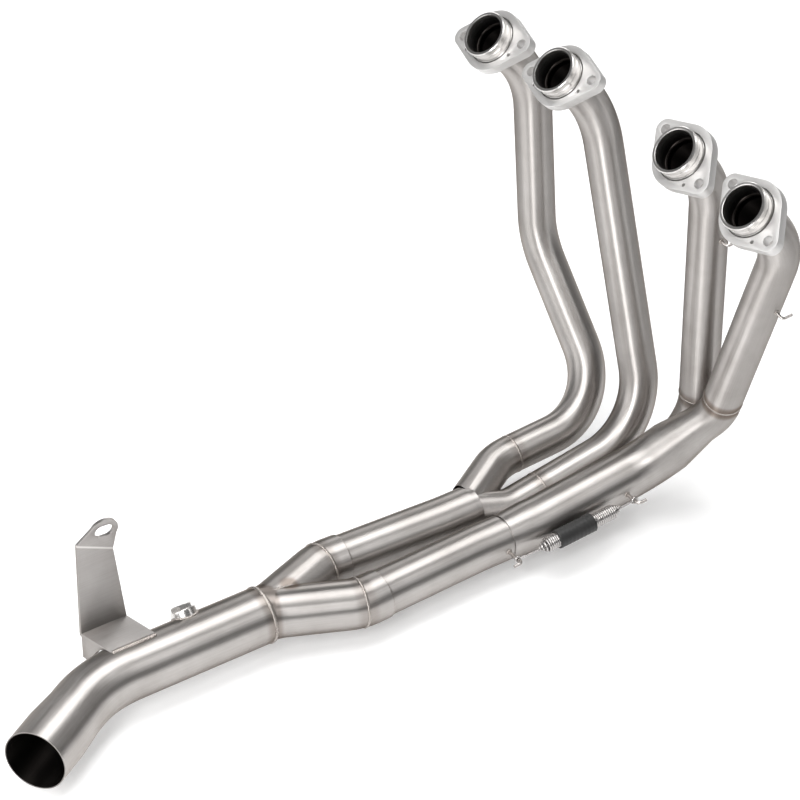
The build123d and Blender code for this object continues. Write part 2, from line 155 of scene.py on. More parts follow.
# Grain: a fine, even speckle with a slow cloud over it, as blasting leaves it.
grain, grain_in, grain_out = new_group(
    "blasted_grain", "ShaderNodeTree",
    [("Vector", "NodeSocketVector", None), ("Speckle", "NodeSocketFloat", 1800.0),
     ("Cloud", "NodeSocketFloat", 40.0)],
    [("Grain", "NodeSocketFloat"), ("Cloud", "NodeSocketFloat")],
)
speckle = put(grain, "ShaderNodeTexNoise", {"Detail": 3.0, "Roughness": 0.6})
cloud = put(grain, "ShaderNodeTexNoise", {"Detail": 3.0, "Roughness": 0.5})
for noise, size in ((speckle, "Speckle"), (cloud, "Cloud")):
    grain.links.new(grain_in.outputs["Vector"], noise.inputs["Vector"])
    grain.links.new(grain_in.outputs[size], noise.inputs["Scale"])
grain.links.new(speckle.outputs["Fac"], grain_out.inputs["Grain"])
grain.links.new(cloud.outputs["Fac"], grain_out.inputs["Cloud"])


def new_finish(name, metallic, roughness):
    finish = bpy.data.materials.new(name)
    finish.use_nodes = True
    shader = finish.node_tree.nodes["Principled BSDF"]
    shader.inputs["Metallic"].default_value = metallic
    shader.inputs["Roughness"].default_value = roughness
    return finish, finish.node_tree, shader


def between(tree, source, low, high):
    ramp = put(tree, "ShaderNodeMapRange", {"From Min": 0.3, "From Max": 0.7, "To Min": low, "To Max": high})
    tree.links.new(source, ramp.inputs["Value"])
    return ramp.outputs["Result"]


# The colour sockets of a Mix node share their names, so they are found by place.
MIX_SHARE, MIX_FIRST, MIX_SECOND, MIX_RESULT = 0, 6, 7, 2


def tinted(tree, source, dark, light):
    mix = put(tree, "ShaderNodeMix", {MIX_FIRST: (*dark, 1), MIX_SECOND: (*light, 1)}, data_type="RGBA")
    tree.links.new(source, mix.inputs[MIX_SHARE])
    return mix.outputs[MIX_RESULT]


def covered(tree, under, share, colour, blend="MIX"):
    mix = put(tree, "ShaderNodeMix", data_type="RGBA", blend_type=blend)
    mix.inputs[MIX_SECOND].default_value = (*colour, 1)
    tree.links.new(share, mix.inputs[MIX_SHARE])
    tree.links.new(under, mix.inputs[MIX_FIRST])
    return mix.outputs[MIX_RESULT]


def bumped(tree, shader, height, strength, distance):
    bump = put(tree, "ShaderNodeBump", {"Strength": strength, "Distance": distance})
    tree.links.new(height, bump.inputs["Height"])
    tree.links.new(bump.outputs["Normal"], shader.inputs["Normal"])


def grained_finish(name, dark, light, metallic, rough_low, rough_high, speckle_scale):
    finish, tree, shader = new_finish(name, metallic, rough_low)
    place = put(tree, "ShaderNodeTexCoord")
    pattern = put(tree, "ShaderNodeGroup", node_tree=grain)
    pattern.inputs["Speckle"].default_value = speckle_scale
    tree.links.new(place.outputs["Object"], pattern.inputs["Vector"])
    tree.links.new(tinted(tree, pattern.outputs["Cloud"], dark, light), shader.inputs["Base Color"])
    tree.links.new(between(tree, pattern.outputs["Cloud"], rough_low, rough_high), shader.inputs["Roughness"])
    bumped(tree, shader, pattern.outputs["Grain"], strength=0.25, distance=0.0002)
    return finish


blasted_plate = grained_finish(
    "blasted_plate", (0.55, 0.54, 0.53), (0.67, 0.66, 0.65),
    metallic=0.75, rough_low=0.42, rough_high=0.5, speckle_scale=2200.0,
)

for number in PORTS:
    studs = ((-STUD_REACH, 0.0), (STUD_REACH, 0.0))
    corners = circle_points(0, 0, HUB_RADIUS, steps=144)
    for x, y in studs:
        corners += circle_points(x, y, LUG_RADIUS, steps=48)
    outline = [corners[i] for i in convex_hull_2d(corners)]
    plate = loose_object("plate", slab("plate", outline, -FLANGE_THICK, 0.0))
    holes = [(x, y, STUD_HOLE_RADIUS, 48, CUTTER_REACH) for x, y in studs]
    for angle in PIN_ANGLES:
        x, y = PIN_REACH * cos(radians(angle)), PIN_REACH * sin(radians(angle))
        holes.append((x, y, PIN_HOLE_RADIUS, 24, CUTTER_REACH))
    holes.append((0.0, 0.0, FLANGE_BORE_RADIUS, 128, CUTTER_REACH))
    holes.append((0.0, 0.0, SEAT_RADIUS, 128, SEAT_DEPTH))
    cutters = []
    for x, y, radius, steps, depth in holes:
        plug = slab("cutter", circle_points(x, y, radius, steps), -depth, CUTTER_REACH)
        cutter = loose_object("cutter", plug)
        cutter.hide_render = True
        cut = plate.modifiers.new("cut", "BOOLEAN")
        cut.operation = "DIFFERENCE"
        cut.solver = "EXACT"
        cut.object = cutter
        cutters.append(cutter)
    edge = plate.modifiers.new("edge", "BEVEL")
    edge.width = EDGE_BREAK
    edge.segments = 3
    edge.limit_method = "ANGLE"
    edge.angle_limit = radians(50)
    mesh = settle(plate)
    for cutter in cutters:
        bpy.data.objects.remove(cutter)
    mesh.transform(port_place(number, True))
    soften(mesh, 35)
    fit_piece(f"port_flange_{number}", mesh, blasted_plate, "flange_steel", f"flange_{number}")


# Port sleeves. Turned stainless rings that stand in the flange seats and take
# the primaries from below. The lathe leaves fine rings round them, and the
# bore inside is painted near-black deeper in, as painted shade.
# Painted shade: the inside of the sleeves' bores and of every tube is painted near-black.
BORE_SHADE = (0.015, 0.013, 0.012)
BORE_SHADE_RADIUS = 18.0
BORE_SHADE_START = 11.8
BORE_SHADE_FULL = 5.0
# The profile holds radii and heights, down the outside and back up the bore.
SLEEVE_PROFILE = (
    (18.1, 12.5), (19.8, 12.5), (20.15, 12.15), (20.5, 11.8),
    (20.5, 7.6), (20.2, 7.3), (20.2, 6.7), (20.5, 6.4), (20.5, 1.2), (20.2, 0.9), (20.2, 0.3), (20.5, 0.0),
    (20.5, -5.0), (18.5, -5.0), (18.5, -16.6), (18.2, -17.0), (17.1, -17.0), (17.1, -9.0),
    (15.8, -9.0), (15.8, -3.9), (16.1, -3.5), (17.0, -3.5), (17.4, -3.2), (17.4, 11.8), (17.6, 12.3),
)


def lathe(name, profile, steps):
    shape = bmesh.new()
    rings = []
    for radius, height in profile:
        rings.append([shape.verts.new((x, y, height)) for x, y in circle_points(0, 0, radius, steps)])
    for i, ring in enumerate(rings):
        after = rings[(i + 1) % len(rings)]
        for j in range(steps):
            k = (j + 1) % steps
            shape.faces.new((ring[j], after[j], after[k], ring[k]))
    bmesh.ops.recalc_face_normals(shape, faces=shape.faces)
    mesh = bpy.data.meshes.new(name)
    shape.to_mesh(mesh)
    shape.free()
    return mesh


# Lathe rings: thin lines round an axis, uneven from one cut to the next.
rings, rings_in, rings_out = new_group(
    "lathe_rings", "ShaderNodeTree",
    [("Height", "NodeSocketFloat", 0.0), ("Rings", "NodeSocketFloat", 2600.0)],
    [("Lines", "NodeSocketFloat")],
)
ring_noise = put(rings, "ShaderNodeTexNoise", {"Detail": 3.0, "Roughness": 0.7}, noise_dimensions="1D")
rings.links.new(rings_in.outputs["Height"], ring_noise.inputs["W"])
rings.links.new(rings_in.outputs["Rings"], ring_noise.inputs["Scale"])
rings.links.new(ring_noise.outputs["Fac"], rings_out.inputs["Lines"])


def store_attribute(mesh, name, kind, values):
    made = mesh.attributes.new(name, kind, "POINT")
    made.data.foreach_set("value" if kind == "FLOAT" else "vector", values)


def turned_finish(name, dark, light, roughness):
    finish, tree, shader = new_finish(name, 1.0, roughness)
    height = put(tree, "ShaderNodeAttribute", attribute_name="cut_height")
    pattern = put(tree, "ShaderNodeGroup", node_tree=rings)
    tree.links.new(height.outputs["Fac"], pattern.inputs["Height"])
    steel = tinted(tree, pattern.outputs["Lines"], dark, light)
    # Painted shade darkens the bore, as the stored attribute gives it.
    bore_shade = put(tree, "ShaderNodeAttribute", attribute_name="bore_shade")
    tree.links.new(covered(tree, steel, bore_shade.outputs["Fac"], BORE_SHADE), shader.inputs["Base Color"])
    uneven = between(tree, pattern.outputs["Lines"], roughness - 0.06, roughness + 0.08)
    tree.links.new(uneven, shader.inputs["Roughness"])
    bumped(tree, shader, pattern.outputs["Lines"], strength=0.05, distance=0.0002)
    return finish


turned_steel = turned_finish("turned_steel", (0.50, 0.485, 0.47), (0.68, 0.665, 0.65), roughness=0.27)

for number in PORTS:
    mesh = lathe("sleeve", SLEEVE_PROFILE, steps=144)
    store_attribute(mesh, "cut_height", "FLOAT", [v.co.z * MM for v in mesh.vertices])
    # The bore is painted darker from near its rim downward, as painted shade.
    bore_shade = []
    for v in mesh.vertices:
        depth = (BORE_SHADE_START - v.co.z) / (BORE_SHADE_START - BORE_SHADE_FULL)
        bore_shade.append(min(1.0, max(0.0, depth)) if v.co.xy.length < BORE_SHADE_RADIUS else 0.0)
    store_attribute(mesh, "bore_shade", "FLOAT", bore_shade)
    mesh.transform(port_place(number, False))
    soften(mesh, 30)
    fit_piece(f"turned_sleeve_{number}", mesh, turned_steel, "sleeve_steel", f"port_sleeve_{number}")


# Primary tubes. Stainless tube, 34 mm across with a 1.2 mm wall, mandrel bent
# and brushed along its length with an abrasive pad, so it shows long soft
# streaks. Each is pushed into its sleeve and runs down to a collector.
TUBE_RADIUS = 17.0
TUBE_WALL = 1.2
PORT_BEND = 84.0
RUN_BEND = 66.0


def mm_point(x, y, z):
    return Vector((x, y, z)) * MM


def toward(start, end, distance):
    return start + (end - start).normalized() * distance * MM


def tube_tree():
    tree, inside, outside = new_group(
        "bent_tube", "GeometryNodeTree",
        [("Route", "NodeSocketGeometry", None), ("Ring Steps", "NodeSocketInt", 72),
         ("Bend Steps", "NodeSocketInt", 26), ("Capped", "NodeSocketBool", False),
         ("Finish", "NodeSocketMaterial", None)],
        [("Tube", "NodeSocketGeometry")],
    )
    link = tree.links.new

    def mark(name, kind):
        return put(tree, "GeometryNodeStoreNamedAttribute", {"Name": name}, data_type=kind, domain="POINT")

    def marked(name, kind):
        return put(tree, "GeometryNodeInputNamedAttribute", {"Name": name}, data_type=kind)

    line = put(tree, "GeometryNodeMeshToCurve")
    bend = marked("bend", "FLOAT")
    round_off = put(tree, "GeometryNodeFilletCurve", mode="POLY")
    reach = marked("reach", "FLOAT")
    length = put(tree, "GeometryNodeSplineParameter")
    mark_length = mark("along", "FLOAT")
    heading = put(tree, "GeometryNodeInputTangent")
    mark_way = mark("way", "FLOAT_VECTOR")
    ring = put(tree, "GeometryNodeCurvePrimitiveCircle", {"Radius": 1.0})
    ring_place = put(tree, "GeometryNodeInputPosition")
    mark_ring = mark("round", "FLOAT_VECTOR")
    skin = put(tree, "GeometryNodeCurveToMesh")
    along = marked("along", "FLOAT")
    around = marked("round", "FLOAT_VECTOR")
    width = marked("reach", "FLOAT")
    apart = put(tree, "ShaderNodeSeparateXYZ")
    scaled = put(tree, "ShaderNodeVectorMath", operation="SCALE")
    joined = put(tree, "ShaderNodeCombineXYZ")
    mark_skin = mark("skin", "FLOAT_VECTOR")
    weld = put(tree, "GeometryNodeMergeByDistance", {"Distance": 0.000002})
    smooth = put(tree, "GeometryNodeSetShadeSmooth")
    real = put(tree, "GeometryNodeRealizeInstances")
    paint = put(tree, "GeometryNodeSetMaterial")
    link(inside.outputs["Route"], line.inputs["Mesh"])
    link(line.outputs["Curve"], round_off.inputs["Curve"])
    link(inside.outputs["Bend Steps"], round_off.inputs["Count"])
    link(bend.outputs["Attribute"], round_off.inputs["Radius"])
    link(round_off.outputs["Curve"], mark_length.inputs["Geometry"])
    link(length.outputs["Length"], mark_length.inputs["Value"])
    link(inside.outputs["Ring Steps"], ring.inputs["Resolution"])
    link(ring.outputs["Curve"], mark_ring.inputs["Geometry"])
    link(ring_place.outputs["Position"], mark_ring.inputs["Value"])
    link(mark_length.outputs["Geometry"], mark_way.inputs["Geometry"])
    link(heading.outputs["Tangent"], mark_way.inputs["Value"])
    link(mark_way.outputs["Geometry"], skin.inputs["Curve"])
    link(mark_ring.outputs["Geometry"], skin.inputs["Profile Curve"])
    link(reach.outputs["Attribute"], skin.inputs["Scale"])
    link(inside.outputs["Capped"], skin.inputs["Fill Caps"])
    link(around.outputs["Attribute"], scaled.inputs["Vector"])
    link(width.outputs["Attribute"], scaled.inputs["Scale"])
    link(scaled.outputs["Vector"], apart.inputs["Vector"])
    link(apart.outputs["X"], joined.inputs["X"])
    link(apart.outputs["Y"], joined.inputs["Y"])
    link(along.outputs["Attribute"], joined.inputs["Z"])
    link(skin.outputs["Mesh"], mark_skin.inputs["Geometry"])
    link(joined.outputs["Vector"], mark_skin.inputs["Value"])
    link(mark_skin.outputs["Geometry"], weld.inputs["Geometry"])
    link(weld.outputs["Geometry"], smooth.inputs["Geometry"])
    link(smooth.outputs["Geometry"], real.inputs["Geometry"])
    link(real.outputs["Geometry"], paint.inputs["Geometry"])
    link(inside.outputs["Finish"], paint.inputs["Material"])
    link(paint.outputs["Geometry"], outside.inputs["Tube"])
    return tree


bent_tube = tube_tree()


def set_input(modifier, label, value):
    for item in modifier.node_group.interface.items_tree:
        if item.name == label and item.in_out == "INPUT":
            modifier[item.identifier] = value


def route_object(points, bends, radii):
    mesh = bpy.data.meshes.new("route")
    mesh.from_pydata(points, [(i, i + 1) for i in range(len(points) - 1)], [])
    store_attribute(mesh, "bend", "FLOAT", [bend * MM for bend in bends])
    store_attribute(mesh, "reach", "FLOAT", [radius * MM for radius in radii])
    return loose_object("route", mesh)


def sweep(points, bends, radii, finish, capped=False, ring_steps=72, bend_steps=26):
    route = route_object(points, bends, radii)
    tube = route.modifiers.new("tube", "NODES")
    tube.node_group = bent_tube
    set_input(tube, "Ring Steps", ring_steps)
    set_input(tube, "Bend Steps", bend_steps)
    set_input(tube, "Capped", capped)
    set_input(tube, "Finish", finish)
    return route


def hollow(made, wall):
    skin = settle(made)
    outer = len(skin.vertices)
    made = loose_object("shell", skin)
    shell = made.modifiers.new("wall", "SOLIDIFY")
    shell.thickness = wall * MM
    shell.offset = -1.0
    mesh = soften(settle(made), 40)
    store_attribute(mesh, "inside", "FLOAT", [float(i >= outer) for i in range(len(mesh.vertices))])
    return mesh


# Brushing: long fine scratches along the third axis of the skin, with a slow
# cloud where the pad was pressed harder.
brushing, brush_in, brush_out = new_group(
    "pad_brushing", "ShaderNodeTree",
    [("Vector", "NodeSocketVector", None), ("Across", "NodeSocketFloat", 900.0),
     ("Along", "NodeSocketFloat", 14.0), ("Cloud", "NodeSocketFloat", 22.0)],
    [("Scratches", "NodeSocketFloat"), ("Cloud", "NodeSocketFloat")],
)
stretch = put(brushing, "ShaderNodeCombineXYZ")
brushing.links.new(brush_in.outputs["Across"], stretch.inputs["X"])
brushing.links.new(brush_in.outputs["Across"], stretch.inputs["Y"])
brushing.links.new(brush_in.outputs["Along"], stretch.inputs["Z"])
stretched = put(brushing, "ShaderNodeVectorMath", operation="MULTIPLY")
brushing.links.new(brush_in.outputs["Vector"], stretched.inputs[0])
brushing.links.new(stretch.outputs["Vector"], stretched.inputs[1])
scratch = put(brushing, "ShaderNodeTexNoise", {"Scale": 1.0, "Detail": 4.0, "Roughness": 0.65})
patch = put(brushing, "ShaderNodeTexNoise", {"Detail": 4.0, "Roughness": 0.6})
brushing.links.new(stretched.outputs["Vector"], scratch.inputs["Vector"])
brushing.links.new(brush_in.outputs["Vector"], patch.inputs["Vector"])
brushing.links.new(brush_in.outputs["Cloud"], patch.inputs["Scale"])
brushing.links.new(scratch.outputs["Fac"], brush_out.inputs["Scratches"])
brushing.links.new(patch.outputs["Fac"], brush_out.inputs["Cloud"])


def brushed_finish(name, dark, light, rough_low, rough_high, along_skin):
    finish, tree, shader = new_finish(name, 1.0, rough_low)
    pattern = put(tree, "ShaderNodeGroup", node_tree=brushing)
    if along_skin:
        place = put(tree, "ShaderNodeAttribute", attribute_name="skin").outputs["Vector"]
    else:
        turn = put(tree, "ShaderNodeMapping", {"Rotation": (radians(90), 0, 0)})
        tree.links.new(put(tree, "ShaderNodeTexCoord").outputs["Object"], turn.inputs["Vector"])
        place = turn.outputs["Vector"]
    tree.links.new(place, pattern.inputs["Vector"])
    blend = put(tree, "ShaderNodeMix", {"Factor": 0.45})
    tree.links.new(pattern.outputs["Cloud"], blend.inputs["A"])
    tree.links.new(pattern.outputs["Scratches"], blend.inputs["B"])
    steel = tinted(tree, between(tree, blend.outputs["Result"], 0.0, 1.0), dark, light)
    inside = put(tree, "ShaderNodeAttribute", attribute_name="inside")
    # The inside of the tube is painted near-black as painted shade.
    tree.links.new(covered(tree, steel, inside.outputs["Fac"], BORE_SHADE), shader.inputs["Base Color"])
    uneven = between(tree, pattern.outputs["Scratches"], rough_low, rough_high)
    tree.links.new(uneven, shader.inputs["Roughness"])
    bumped(tree, shader, pattern.outputs["Scratches"], strength=0.1, distance=0.0002)
    shader.inputs["Specular Tint"].default_value = (0.45, 0.41, 0.38, 1)
    if along_skin:
        shader.inputs["Anisotropic"].default_value = 0.92
        way = put(tree, "ShaderNodeAttribute", attribute_name="way")
        tree.links.new(way.outputs["Vector"], shader.inputs["Tangent"])
    return finish


TUBE_DARK, TUBE_LIGHT = (0.36, 0.338, 0.322), (0.51, 0.49, 0.475)
TUBE_ROUGH_LOW, TUBE_ROUGH_HIGH = 0.38, 0.48
brushed_tube = brushed_finish(
    "brushed_tube", TUBE_DARK, TUBE_LIGHT, TUBE_ROUGH_LOW, TUBE_ROUGH_HIGH, along_skin=True)

PORT_LEADS = {1: 61.5, 2: 57.5, 3: 46.0, 4: 58.0}
TUBE_START = 9.0
LEFT_X, RIGHT_X, RUN_Z = -7.0, 42.0, -343.5


def port_point(number, depth):
    x, rise, turn = PORTS[number]
    return (Vector((x, 0, 0)) + UP_SLOPE * rise - PORT_AXIS * depth) * MM


starts = {number: port_point(number, TUBE_START) for number in PORTS}
leads = {number: port_point(number, PORT_LEADS[number]) for number in PORTS}
elbow_1 = mm_point(-158.0, 43.0, -210.5)
heel_1 = mm_point(-44.5, 39.0, -330.5)
weld_1 = mm_point(-44.5, -66.0, -337.5)
heel_2 = mm_point(-2.5, 52.0, -331.5)
turn_2 = mm_point(1.0, -103.0, -354.0)
weld_2 = toward(heel_2, turn_2, 122.0)
heel_3 = mm_point(RIGHT_X, 71.0, -319.5)
level_3 = mm_point(RIGHT_X, -104.0, RUN_Z)
weld_3 = toward(heel_3, leads[3], 52.0)
knee_4 = mm_point(86.5, 54.5, -264.5)
weld_4 = toward(knee_4, leads[4], 20.0)
joint_4 = mm_point(45.0, 12.0, -327.0)
PRIMARY_ROUTES = {
    1: ((starts[1], leads[1], elbow_1, heel_1, weld_1), (0, PORT_BEND, RUN_BEND, RUN_BEND, 0)),
    2: ((starts[2], leads[2], heel_2, weld_2), (0, PORT_BEND, RUN_BEND, 0)),
    3: ((starts[3], leads[3], weld_3), (0, PORT_BEND, 0)),
    4: ((starts[4], leads[4], weld_4), (0, PORT_BEND, 0)),
}
for number, (route, bends) in PRIMARY_ROUTES.items():
    tube = hollow(sweep(route, bends, [TUBE_RADIUS] * len(route), brushed_tube), TUBE_WALL)
    fit_piece(f"bent_primary_{number}", tube, brushed_tube, "tube_steel", f"primary_tube_{number}")


# Merge collectors. Two tubes are bent, coped and welded into one, and the body
# is turned down to a spigot that slips into a secondary tube. On the left the
# outer primary swings in over the other one; on the right it grows into a body.
FORWARD = Vector((0, 1, 0))
OVERLAP = 10.0
BODY_RADIUS = 22.4
NECK_RADIUS = 19.85
SPIGOT_RADIUS = 18.65
SHOULDER_Y = -138.5
SPIGOT_END_Y = -157.0
SPIGOT_ROOT = 3.6
SHOULDER_STEP = 0.1
LEG_1_BEND = 50.0
LEG_2_BEND = 40.0
LEG_3_BEND = 46.0
KNEE_BEND = 38.0
JOINT_BEND = 48.0
BODY_BEND = 100.0
AHEAD_REACH = 0.3
LID_NEAR = 0.1
LID_FACING = 0.99


def full_tube(points, bends, radii):
    return sweep(points, bends, radii, None, capped=True, ring_steps=96, bend_steps=34)


def weld_up(legs, ends, cut_y=None, spigot=None):
    body, *others = [full_tube(*leg) for leg in legs]
    steps = [(other, "UNION") for other in others]
    if spigot:
        reach = AHEAD_REACH
        corners = [(-reach, cut_y * MM), (reach, cut_y * MM), (reach, reach), (-reach, reach)]
        steps.append((loose_object("ahead", slab("ahead", corners, -2 * reach, reach)), "INTERSECT"))
        steps.append((full_tube(*spigot), "UNION"))
    for other, operation in steps:
        other.hide_render = True
        join = body.modifiers.new("join", "BOOLEAN")
        join.operation = operation
        join.solver = "MANIFOLD"
        join.object = other
    mesh = settle(body)
    for other, operation in steps:
        bpy.data.objects.remove(other)
    shape = bmesh.new()
    shape.from_mesh(mesh)
    lids = []
    for point, way in ends:
        for face in shape.faces:
            off_end = abs((face.calc_center_median() - point).dot(way))
            if off_end < LID_NEAR * MM and abs(face.normal.dot(way)) > LID_FACING:
                lids.append(face)
    bmesh.ops.delete(shape, geom=list(set(lids)), context="FACES")
    shape.to_mesh(mesh)
    shape.free()
    return hollow(loose_object("welded", mesh), TUBE_WALL)


leg_1_turn = toward(weld_1, heel_1, -16.0)
left_join = mm_point(LEFT_X, -147.0, RUN_Z)
left_inside = mm_point(LEFT_X, -163.0, RUN_Z)
left_spigot_end = mm_point(LEFT_X, SPIGOT_END_Y, RUN_Z)
left_shell = weld_up(
    (
        ((weld_1, leg_1_turn, left_join, left_inside), (0, LEG_1_BEND, LEG_1_BEND, 0), [TUBE_RADIUS] * 4),
        ((weld_2, turn_2, left_join), (0, LEG_2_BEND, 0), [TUBE_RADIUS] * 3),
    ),
    (
        (weld_1, (weld_1 - heel_1).normalized()),
        (weld_2, (weld_2 - heel_2).normalized()),
        (left_spigot_end, FORWARD),
    ),
    SHOULDER_Y,
    ((mm_point(LEFT_X, SHOULDER_Y + SPIGOT_ROOT, RUN_Z), left_spigot_end), (0, 0), [SPIGOT_RADIUS] * 2),
)
brushed_collector = brushed_finish(
    "brushed_collector", TUBE_DARK, TUBE_LIGHT, TUBE_ROUGH_LOW, TUBE_ROUGH_HIGH, along_skin=True)
fit_piece("left_merge_shell", left_shell, brushed_collector, "tube_steel", "merge_collector_left")

grow_start = toward(knee_4, joint_4, 20.0)
grow_end = toward(knee_4, joint_4, 56.0)
right_shoulder = mm_point(RIGHT_X, SHOULDER_Y, RUN_Z)
body_end = toward(level_3, right_shoulder, OVERLAP)
right_step = mm_point(RIGHT_X, SHOULDER_Y - SHOULDER_STEP, RUN_Z)
right_spigot_end = mm_point(RIGHT_X, SPIGOT_END_Y, RUN_Z)
leg_3_end = mm_point(45.0, -12.0, -327.0)
right_shell = weld_up(
    (
        (
            (weld_4, knee_4, grow_start, grow_end, joint_4, level_3, body_end, right_shoulder, right_step,
             right_spigot_end),
            (0, KNEE_BEND, 0, 0, JOINT_BEND, BODY_BEND, 0, 0, 0, 0),
            [TUBE_RADIUS] * 3 + [BODY_RADIUS] * 4 + [NECK_RADIUS] + [SPIGOT_RADIUS] * 2,
        ),
        ((weld_3, heel_3, leg_3_end), (0, LEG_3_BEND, 0), [TUBE_RADIUS] * 3),
    ),
    (
        (weld_3, (weld_3 - heel_3).normalized()),
        (weld_4, (weld_4 - knee_4).normalized()),
        (right_spigot_end, FORWARD),
    ),
)
fit_piece("right_merge_shell", right_shell, brushed_collector, "tube_steel", "merge_collector_right")


# Secondary tubes. Two 40 mm stainless tubes under the engine, slipped over the
# merge collectors' spigots in front and welded to the final collector behind.
SECONDARY_RADIUS = 20.0
SECONDARY_START_Y = -141.0
SECONDARY_TURN_Y = -167.0
SECONDARY_END_Y = -278.0
SECONDARY_BEND = 100.0
SPREAD = 5.0
left_rear = mm_point(LEFT_X - SPREAD, SECONDARY_END_Y, RUN_Z)
right_rear = mm_point(RIGHT_X + SPREAD, SECONDARY_END_Y, RUN_Z)
left_bend = mm_point(LEFT_X, SECONDARY_TURN_Y, RUN_Z)
right_bend = mm_point(RIGHT_X, SECONDARY_TURN_Y, RUN_Z)
for side, x, bend, rear in (
    ("left", LEFT_X, left_bend, left_rear),
    ("right", RIGHT_X, right_bend, right_rear),
):
    route = (mm_point(x, SECONDARY_START_Y, RUN_Z), bend, rear)
    tube = hollow(sweep(route, (0, SECONDARY_BEND, 0), [SECONDARY_RADIUS] * 3, brushed_tube), TUBE_WALL)
    fit_piece(f"{side}_secondary", tube, brushed_tube, "tube_steel", f"secondary_tube_{side}")


# Final collector. Two formed legs that lean together and are welded into one
# round outlet of the link pipe's size.
LINK_RADIUS = 24.3
LINK_X, LINK_Z = (LEFT_X + RIGHT_X) / 2, -340.5
COLLECTOR_RADIUS = 21.3
OUTLET_RADIUS = 20.8
THROAT_RADIUS = 18.8
THROAT_Y = -340.7
OUTLET_TURN_Y = -355.0
OUTLET_Y = -364.4
RING_Y = -365.0
OUTLET_SHIFT = 3.0
FORMED_BEND = 48.0
ring = mm_point(LINK_X, RING_Y, LINK_Z)
throat = mm_point(LINK_X, THROAT_Y, LINK_Z)
final_legs = [((throat, ring), (0, 0), (THROAT_RADIUS, LINK_RADIUS))]
final_ends = [(ring, FORWARD)]
for rear, bend, shift in ((left_rear, left_bend, -OUTLET_SHIFT), (right_rear, right_bend, OUTLET_SHIFT)):
    leg_start = toward(rear, bend, OVERLAP)
    leg_turn = toward(rear, bend, -OVERLAP)
    outlet_turn = mm_point(LINK_X + shift, OUTLET_TURN_Y, LINK_Z)
    outlet = mm_point(LINK_X + shift, OUTLET_Y, LINK_Z)
    radii = [COLLECTOR_RADIUS] * 3 + [OUTLET_RADIUS]
    final_legs.append(((leg_start, leg_turn, outlet_turn, outlet), (0, FORMED_BEND, FORMED_BEND, 0), radii))
    final_ends.append((leg_start, (bend - rear).normalized()))
fit_piece("final_shell", weld_up(final_legs, final_ends), brushed_collector, "tube_steel", "final_collector")


# Link pipe. One 48.6 mm tube with a single bend; its open end is sized up to
# take the silencer, and its inside is painted dark as painted shade.
LINK_BEND = 100.0
MOUTH_RADIUS = 26.3
SIZED_LENGTH = 34.0
FLARE_LENGTH = 30.0
link_bend = mm_point(LINK_X, -519.5, LINK_Z)
mouth = mm_point(75.0, -606.5, -334.5)
sized_start = toward(mouth, link_bend, SIZED_LENGTH)
flare_start = toward(sized_start, link_bend, FLARE_LENGTH)
pipe = sweep(
    (ring, link_bend, flare_start, sized_start, mouth), (0, LINK_BEND, 0, 0, 0),
    [LINK_RADIUS] * 3 + [MOUTH_RADIUS] * 2, brushed_tube, ring_steps=112, bend_steps=40,
)
fit_piece("link_tube", hollow(pipe, TUBE_WALL), brushed_tube, "tube_steel", "link_pipe")


# Sensor boss and plug. A turned stainless ring saddled on the link pipe and
# welded round its foot, closed with a hexagon plug.
BOSS_TURN = radians(50)
BOSS_WAY = Vector((-cos(BOSS_TURN), 0, sin(BOSS_TURN)))
BOSS_Y = -428.0
BOSS_RADIUS = 11.0
BOSS_BORE = 8.0
BOSS_HEIGHT = 29.3
BOSS_FOOT = 22.0
SADDLE_GAP = 0.05
HEAD_FLAT = 8.5
HEAD_HEIGHT = 4.0
HEAD_CHAMFER = 1.1
STEM_RADIUS = 7.9
STEM_DEPTH = 11.0
STEM_ROOT = 1.0
boss_place = Matrix((FORWARD, BOSS_WAY.cross(FORWARD), BOSS_WAY)).transposed().to_4x4()
boss_place.translation = mm_point(LINK_X, BOSS_Y, LINK_Z)
boss_place = boss_place @ Matrix.Scale(MM, 4)
BOSS_PROFILE = (
    (BOSS_BORE, BOSS_FOOT), (BOSS_RADIUS, BOSS_FOOT), (BOSS_RADIUS, 27.0), (BOSS_RADIUS, 28.6), (10.8, 29.1),
    (10.3, BOSS_HEIGHT), (8.6, BOSS_HEIGHT), (BOSS_BORE, 28.8),
)


def saddled(y):
    return sqrt(LINK_RADIUS ** 2 - y ** 2)


def turned_piece(name, mesh, place, finish, slot, node):
    store_attribute(mesh, "cut_height", "FLOAT", [v.co.z * MM for v in mesh.vertices])
    store_attribute(mesh, "bore_shade", "FLOAT", [0.0] * len(mesh.vertices))
    mesh.transform(place)
    soften(mesh, 30)
    fit_piece(name, mesh, finish, slot, node)


boss = lathe("boss", BOSS_PROFILE, steps=96)
for v in boss.vertices:
    if v.co.z < BOSS_FOOT + 0.5:
        v.co.z = saddled(v.co.y) + SADDLE_GAP
turned_piece("welded_boss", boss, boss_place, turned_steel, "boss_steel", "sensor_boss")

